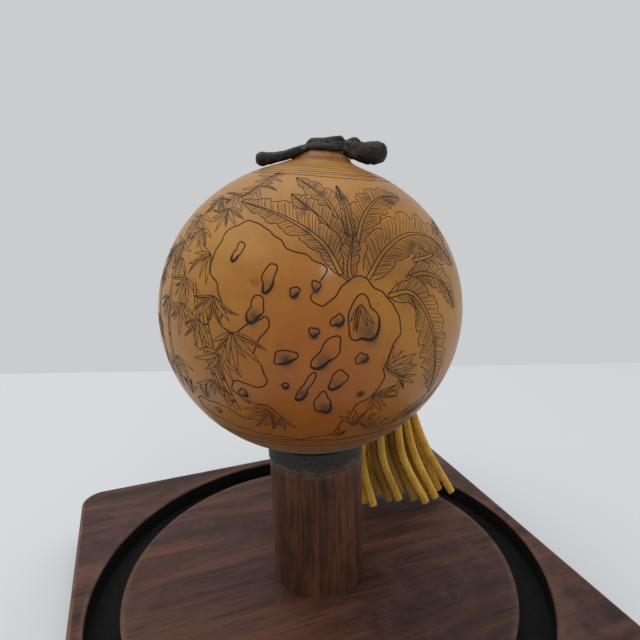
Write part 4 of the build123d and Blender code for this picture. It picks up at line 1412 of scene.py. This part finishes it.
class GOURD_OT_tassel(bpy.types.Operator):
    """Build the cord with its loop, and the tassel"""

    bl_idname = "gourd.tassel"
    bl_label = "Tassel"

    # The cord's points on the gourd: degrees from the mouth's axis, and distance outside the gourd
    drape = ((22, 1.9), (37, 0.8), (52, 0.8), (67, 1.1), (82, 1.3))
    # How far above the head it comes down straight
    straight = 4
    # Plies and pitch in diameters of the cord, the head's threads, the binding and the strands
    cord_twist, thread_twist, binding_twist, strand_twist = (3, 4.0), (2, 5.0), (2, 4.0), (8, 6.0)
    # Head, from its crown: distance from its middle and height
    head_profile = (
        (0.9, -0.1), (2.3, -0.6), (3.35, -1.9), (3.6, -3.6), (3.3, -5.4), (2.9, -6.6), (2.9, -8.8),
        (4.1, -10.2), (5.4, -11.3),
    )
    # Threads on the head: how many, how far they lean, and how deep they lie in its core
    threads, thread_lean, thread_depth = 26, 0.35, 0.25
    # Binding: radius of its coil, start below the crown, height, turns and thickness
    coil_radius, coil_start, coil_height, coil_turns, coil_thread = 3.72, 6.72, 1.96, 4, 0.68
    # Skirt: start below the crown, drift to the right and back, slip between its rows, and ragged ends
    skirt_start, drift_right, drift_back, slip, ragged = 11.5, 5.4, -3.3, 0.25, 1.8
    # The skirt's levels: share of the drop, widening along the stalk and away from it, and share of the drift
    levels = (
        (0, 1, 1, 0), (0.13, 1, 1, 0), (0.37, 1.7, 1, 0.08), (0.69, 2.5, 0.95, 0.3), (1, 2.9, 0.95, 1.15),
    )
    # How far strands sway at the lower levels, to the side and to the back
    sways, back_sway = {2: 0.3, 3: 0.75, 4: 0.9}, 0.2
    # Painted shade at the top and at the end of the strands inside the bundle and of those outside
    inner_dust, outer_dust = (0.8, 0.4), (0.1, 0)

    def execute(self, context):
        self.settings = context.scene.gourd_tassel
        self.tree, self.silk = twisted_cord(), gold_silk(self.settings)
        low, high = box_of("tassel_head")
        self.top = np.array([*(low + high)[:2] / 2, high[2]])
        centre = gourd_centre(context.scene.gourd_skin)
        hang = self.top - centre
        hang = unit(hang - MOUTH_AXIS * (hang @ MOUTH_AXIS))
        (around,) = in_mm(context.scene.gourd_skin, "radius")
        route = []
        for degrees, outside in self.drape:
            angle = math.radians(degrees)
            way = MOUTH_AXIS * math.cos(angle) + hang * math.sin(angle)
            route.append(centre + way * (around + outside))
        loop, lead = self.loop(hang, route[0])
        pieces = [loop, *self.head(), *self.skirt()]
        self.cord([lead, *route, self.top + self.straight * UP, self.top], pieces)
        return {"FINISHED"}

    def wound(self, name, paths, diameter, twist, nodes=(), closed=False, sides=10, **numbers):
        """Twisted cords of one size along paths in millimetres, with numbers for the points of the paths."""
        plies, pitch = twist
        thick = diameter * MM
        # Many thin plies lie round a thick core, and a few thick ones leave room for a thin one only
        core = 0.5 * thick / (1 + math.sin(math.pi / plies)) * (0.98 if plies > 4 else 0.5)
        values = {
            "Cord Diameter": thick, "Plies": plies, "Twist Pitch": pitch * thick, "Step": 0.22 * thick,
            "Sides": sides, "Core Radius": core, "Silk": self.silk,
        }
        piece = run_tree(name, paths, self.tree, values, closed, **numbers)
        return finish_piece(piece, "tassel", "gold_cord", *nodes)

    def loop(self, hang, towards):
        """The loop round the stalk's waist with its knot, and where the hanging cord starts."""
        diameter, level, radius = in_mm(self.settings, "cord_diameter", "loop_level", "loop_radius")
        long, knot = in_mm(self.settings, "knot_length", "knot_radius")
        side = np.cross(MOUTH_AXIS, hang)
        turns = np.linspace(0, 2 * math.pi, 72, endpoint=False)
        ring = MOUTH + level * MOUTH_AXIS + radius * spokes(turns, hang, side)
        start = ring[0]
        way = unit(towards - start)
        end = start + way * long
        band = self.wound("cord_loop_ring", [ring], diameter, self.cord_twist, ["cord_loop"], closed=True)
        lead = self.wound("cord_loop_lead", [np.linspace(start, end, 8)], diameter, self.cord_twist)
        first = np.cross(way, side)
        turns = np.linspace(0, 6 * math.pi, 80)
        coil = end - way * knot * (0.2 + 1.6 * turns / turns[-1])[:, None]
        coil = coil + 0.5 * knot * spokes(turns, first, np.cross(way, first))
        tie = self.wound("cord_loop_knot", [coil], knot, self.cord_twist)
        return joined(band, lead, tie), end

    def head(self):
        """The head, wrapped with threads from its crown to its foot, and the binding round its waist."""
        outline = smooth_line(self.head_profile, step=0.25)
        crown, foot = self.head_profile[0][1], self.head_profile[-1][1]
        profile = [(0, crown), *(outline - (self.thread_depth, 0)), (0, foot)]
        core, faces = lathe(profile, 96, self.top, (RIGHT, BACK, UP))
        core = new_piece("tassel_head_core", core, faces, self.silk, 50)
        paths = []
        for turn in np.arange(self.threads) * 2 * math.pi / self.threads:
            lean = turn + np.linspace(0, self.thread_lean, len(outline))
            paths.append(self.top + outline[:, :1] * spokes(lean, RIGHT, BACK) + outline[:, 1:] * UP)
        (thread,) = in_mm(self.settings, "thread_diameter")
        wrap = self.wound("tassel_head_threads", paths, thread, self.thread_twist, ["tassel_head"], sides=8)
        turns = np.linspace(0, self.coil_turns * 2 * math.pi, 240)
        coil = self.top + self.coil_radius * spokes(turns, RIGHT, BACK)
        coil = coil - UP * (self.coil_start + self.coil_height * turns / turns[-1])[:, None]
        name, nodes = "tassel_binding_thread", ["tassel_binding"]
        return joined(wrap, core), self.wound(name, [coil], self.coil_thread, self.binding_twist, nodes)

    def skirt(self):
        """The separate strands, spread as they fall and drifting to one side."""
        foot = self.top - UP * self.skirt_start
        diameter, pitch = in_mm(self.settings, "strand_diameter", "strand_pitch")
        drop = foot[2] - box_of(STRANDS[0])[0][2]
        drift = RIGHT * self.drift_right + BACK * self.drift_back
        places = [
            ((column - (4 - abs(row)) / 2) * pitch, row * pitch * math.sqrt(3) / 2)
            for row in range(-2, 3)
            for column in range(5 - abs(row))
        ]
        random = np.random.default_rng(3)
        plies, lay = self.strand_twist
        strands = []
        for node, (across, deep) in zip(STRANDS, places):
            route = [
                foot
                + RIGHT * (across * wide + self.slip * deep * (wide - 1))
                + BACK * deep * thick
                + drift * shift
                - UP * drop * fall
                for fall, wide, thick, shift in self.levels
            ]
            twist = plies, lay * random.uniform(0.85, 1.2)
            for level, sway in self.sways.items():
                aside = RIGHT * random.uniform(-sway, sway)
                route[level] = route[level] + aside + BACK * random.uniform(-self.back_sway, self.back_sway)
            route[-1] = route[-1] + UP * random.uniform(0, self.ragged)
            path = smooth_line(route, step=1.0)
            # Painted shade: strands inside the bundle are darkened, and all strands most near the head
            inside_bundle = math.hypot(across, deep) < 1.2 * pitch
            dust = np.linspace(*(self.inner_dust if inside_bundle else self.outer_dust), len(path))
            strands.append(self.wound(f"{node}_cord", [path], diameter, twist, [node], sides=6, dust=dust))
        return strands

    def cord(self, route, pieces):
        """The hanging cord along the route's spline."""
        curve = bpy.data.curves.new("cord route", "CURVE")
        curve.dimensions, curve.resolution_u = "3D", 24
        spline = curve.splines.new("NURBS")
        spline.points.add(len(route) - 1)
        for point, place in zip(spline.points, route):
            point.co = (*(place * MM), 1)
        spline.order_u = 3
        spline.use_endpoint_u = True
        guide = new_object("cord route", curve)
        line = evaluated(guide)
        path = mesh_points(line)
        bpy.data.objects.remove(guide)
        bpy.data.curves.remove(curve)
        bpy.data.meshes.remove(line)
        diameter = self.settings.cord_diameter
        piece = self.wound("hanging_cord_twist", [path], diameter / MM, self.cord_twist, ["hanging_cord"])


class GOURD_OT_stage(bpy.types.Operator):
    """Set up the camera, the floor and the light"""

    bl_idname = "gourd.stage"
    bl_label = "Stage"

    # Softbox: where it stands, what it lights and how wide it is
    softbox_place, softbox_aim, softbox_width = (-0.15, 0.1, 0.75), (0.02, 0.0, 0.08), 0.9
    # Front lamp: where it stands from the camera, what it lights and how wide it is
    front_offset, front_aim, front_width = (0.02, -0.06, 0.11), (0.0, 0.0, 0.08), 0.022
    # Half the floor's width and its height, in millimetres
    floor_width, floor_level = 900, -0.2

    def execute(self, context):
        scene, settings = context.scene, context.scene.gourd_stage
        scene.view_settings.view_transform = "Standard"
        scene.camera = new_object("camera", bpy.data.cameras.new("camera"))
        scene.camera.data.lens, scene.camera.data.sensor_width = settings.lens, 36
        scene.camera.data.clip_start = 0.01
        turn = Matrix.Rotation(settings.camera_turn, 4, "Z") @ Matrix.Rotation(settings.camera_tilt, 4, "X")
        turn = turn @ Matrix.Rotation(settings.camera_roll, 4, "Z")
        scene.camera.matrix_world = Matrix.Translation(settings.camera_place) @ turn
        self.floor(settings)
        over, front = self.softbox_place, np.array(settings.camera_place) + self.front_offset
        self.lamp("overhead softbox", settings.softbox, over, self.softbox_aim, self.softbox_width)
        self.lamp("front lamp", settings.front_lamp, front, self.front_aim, self.front_width)
        scene.world = bpy.data.worlds.new("room")
        scene.world.use_nodes = True
        sky = scene.world.node_tree.nodes["Background"].inputs
        sky["Color"].default_value, sky["Strength"].default_value = settings.sky_colour, settings.sky
        return {"FINISHED"}

    def floor(self, settings):
        """A plain table top just under the stand."""
        wide, (far,) = self.floor_width, in_mm(settings, "floor_reach")
        turn = Matrix.Rotation(settings.floor_turn, 3, "Z")
        square = ((-wide, -wide), (wide, -wide), (wide, far), (-wide, far))
        corners = [turn @ Vector((*corner, self.floor_level)) for corner in square]
        new_piece("floor", corners, [(0, 1, 2, 3)], floor_paint(settings))

    def lamp(self, name, power, place, target, width):
        """A square soft light aimed at a point."""
        light = new_object(name, bpy.data.lights.new(name, "AREA"))
        light.data.energy, light.data.size = power, width
        light.location = place
        light.rotation_euler = (Vector(target) - Vector(place)).to_track_quat("-Z", "Y").to_euler()


OPERATORS = (GOURD_OT_stand, GOURD_OT_shell, GOURD_OT_stopper, GOURD_OT_tassel, GOURD_OT_stage)
SETTINGS = {
    "gourd_stand": StandSettings, "gourd_skin": GourdSettings,
    "gourd_tassel": TasselSettings, "gourd_stage": StageSettings,
}


class GOURD_PT_build(bpy.types.Panel):
    """Lists the steps of the build with their settings"""

    bl_idname = "GOURD_PT_build"
    bl_label = "Carved Gourd"
    bl_space_type = "VIEW_3D"
    bl_region_type = "UI"
    bl_category = "Gourd"

    def draw(self, context):
        for operator in OPERATORS:
            self.layout.operator(operator.bl_idname)
        for name, group in SETTINGS.items():
            box = self.layout.box()
            for key in group.__annotations__:
                box.prop(getattr(context.scene, name), key)


def register():
    """Add the settings, the operators and the panel."""
    for group in (*SETTINGS.values(), *OPERATORS, GOURD_PT_build):
        bpy.utils.register_class(group)
    for name, group in SETTINGS.items():
        setattr(bpy.types.Scene, name, bpy.props.PointerProperty(type=group))


def unregister():
    """Remove the panel, the operators and the settings."""
    for name in SETTINGS:
        delattr(bpy.types.Scene, name)
    for group in (GOURD_PT_build, *reversed(OPERATORS), *reversed(SETTINGS.values())):
        bpy.utils.unregister_class(group)


def main():
    """Build the gourd, its stand and its stage."""
    register()
    bpy.ops.gourd.stage()
    bpy.ops.gourd.tassel()
    bpy.ops.gourd.stand()
    bpy.ops.gourd.shell()
    bpy.ops.gourd.stopper()


if __name__ == "__main__":
    main()
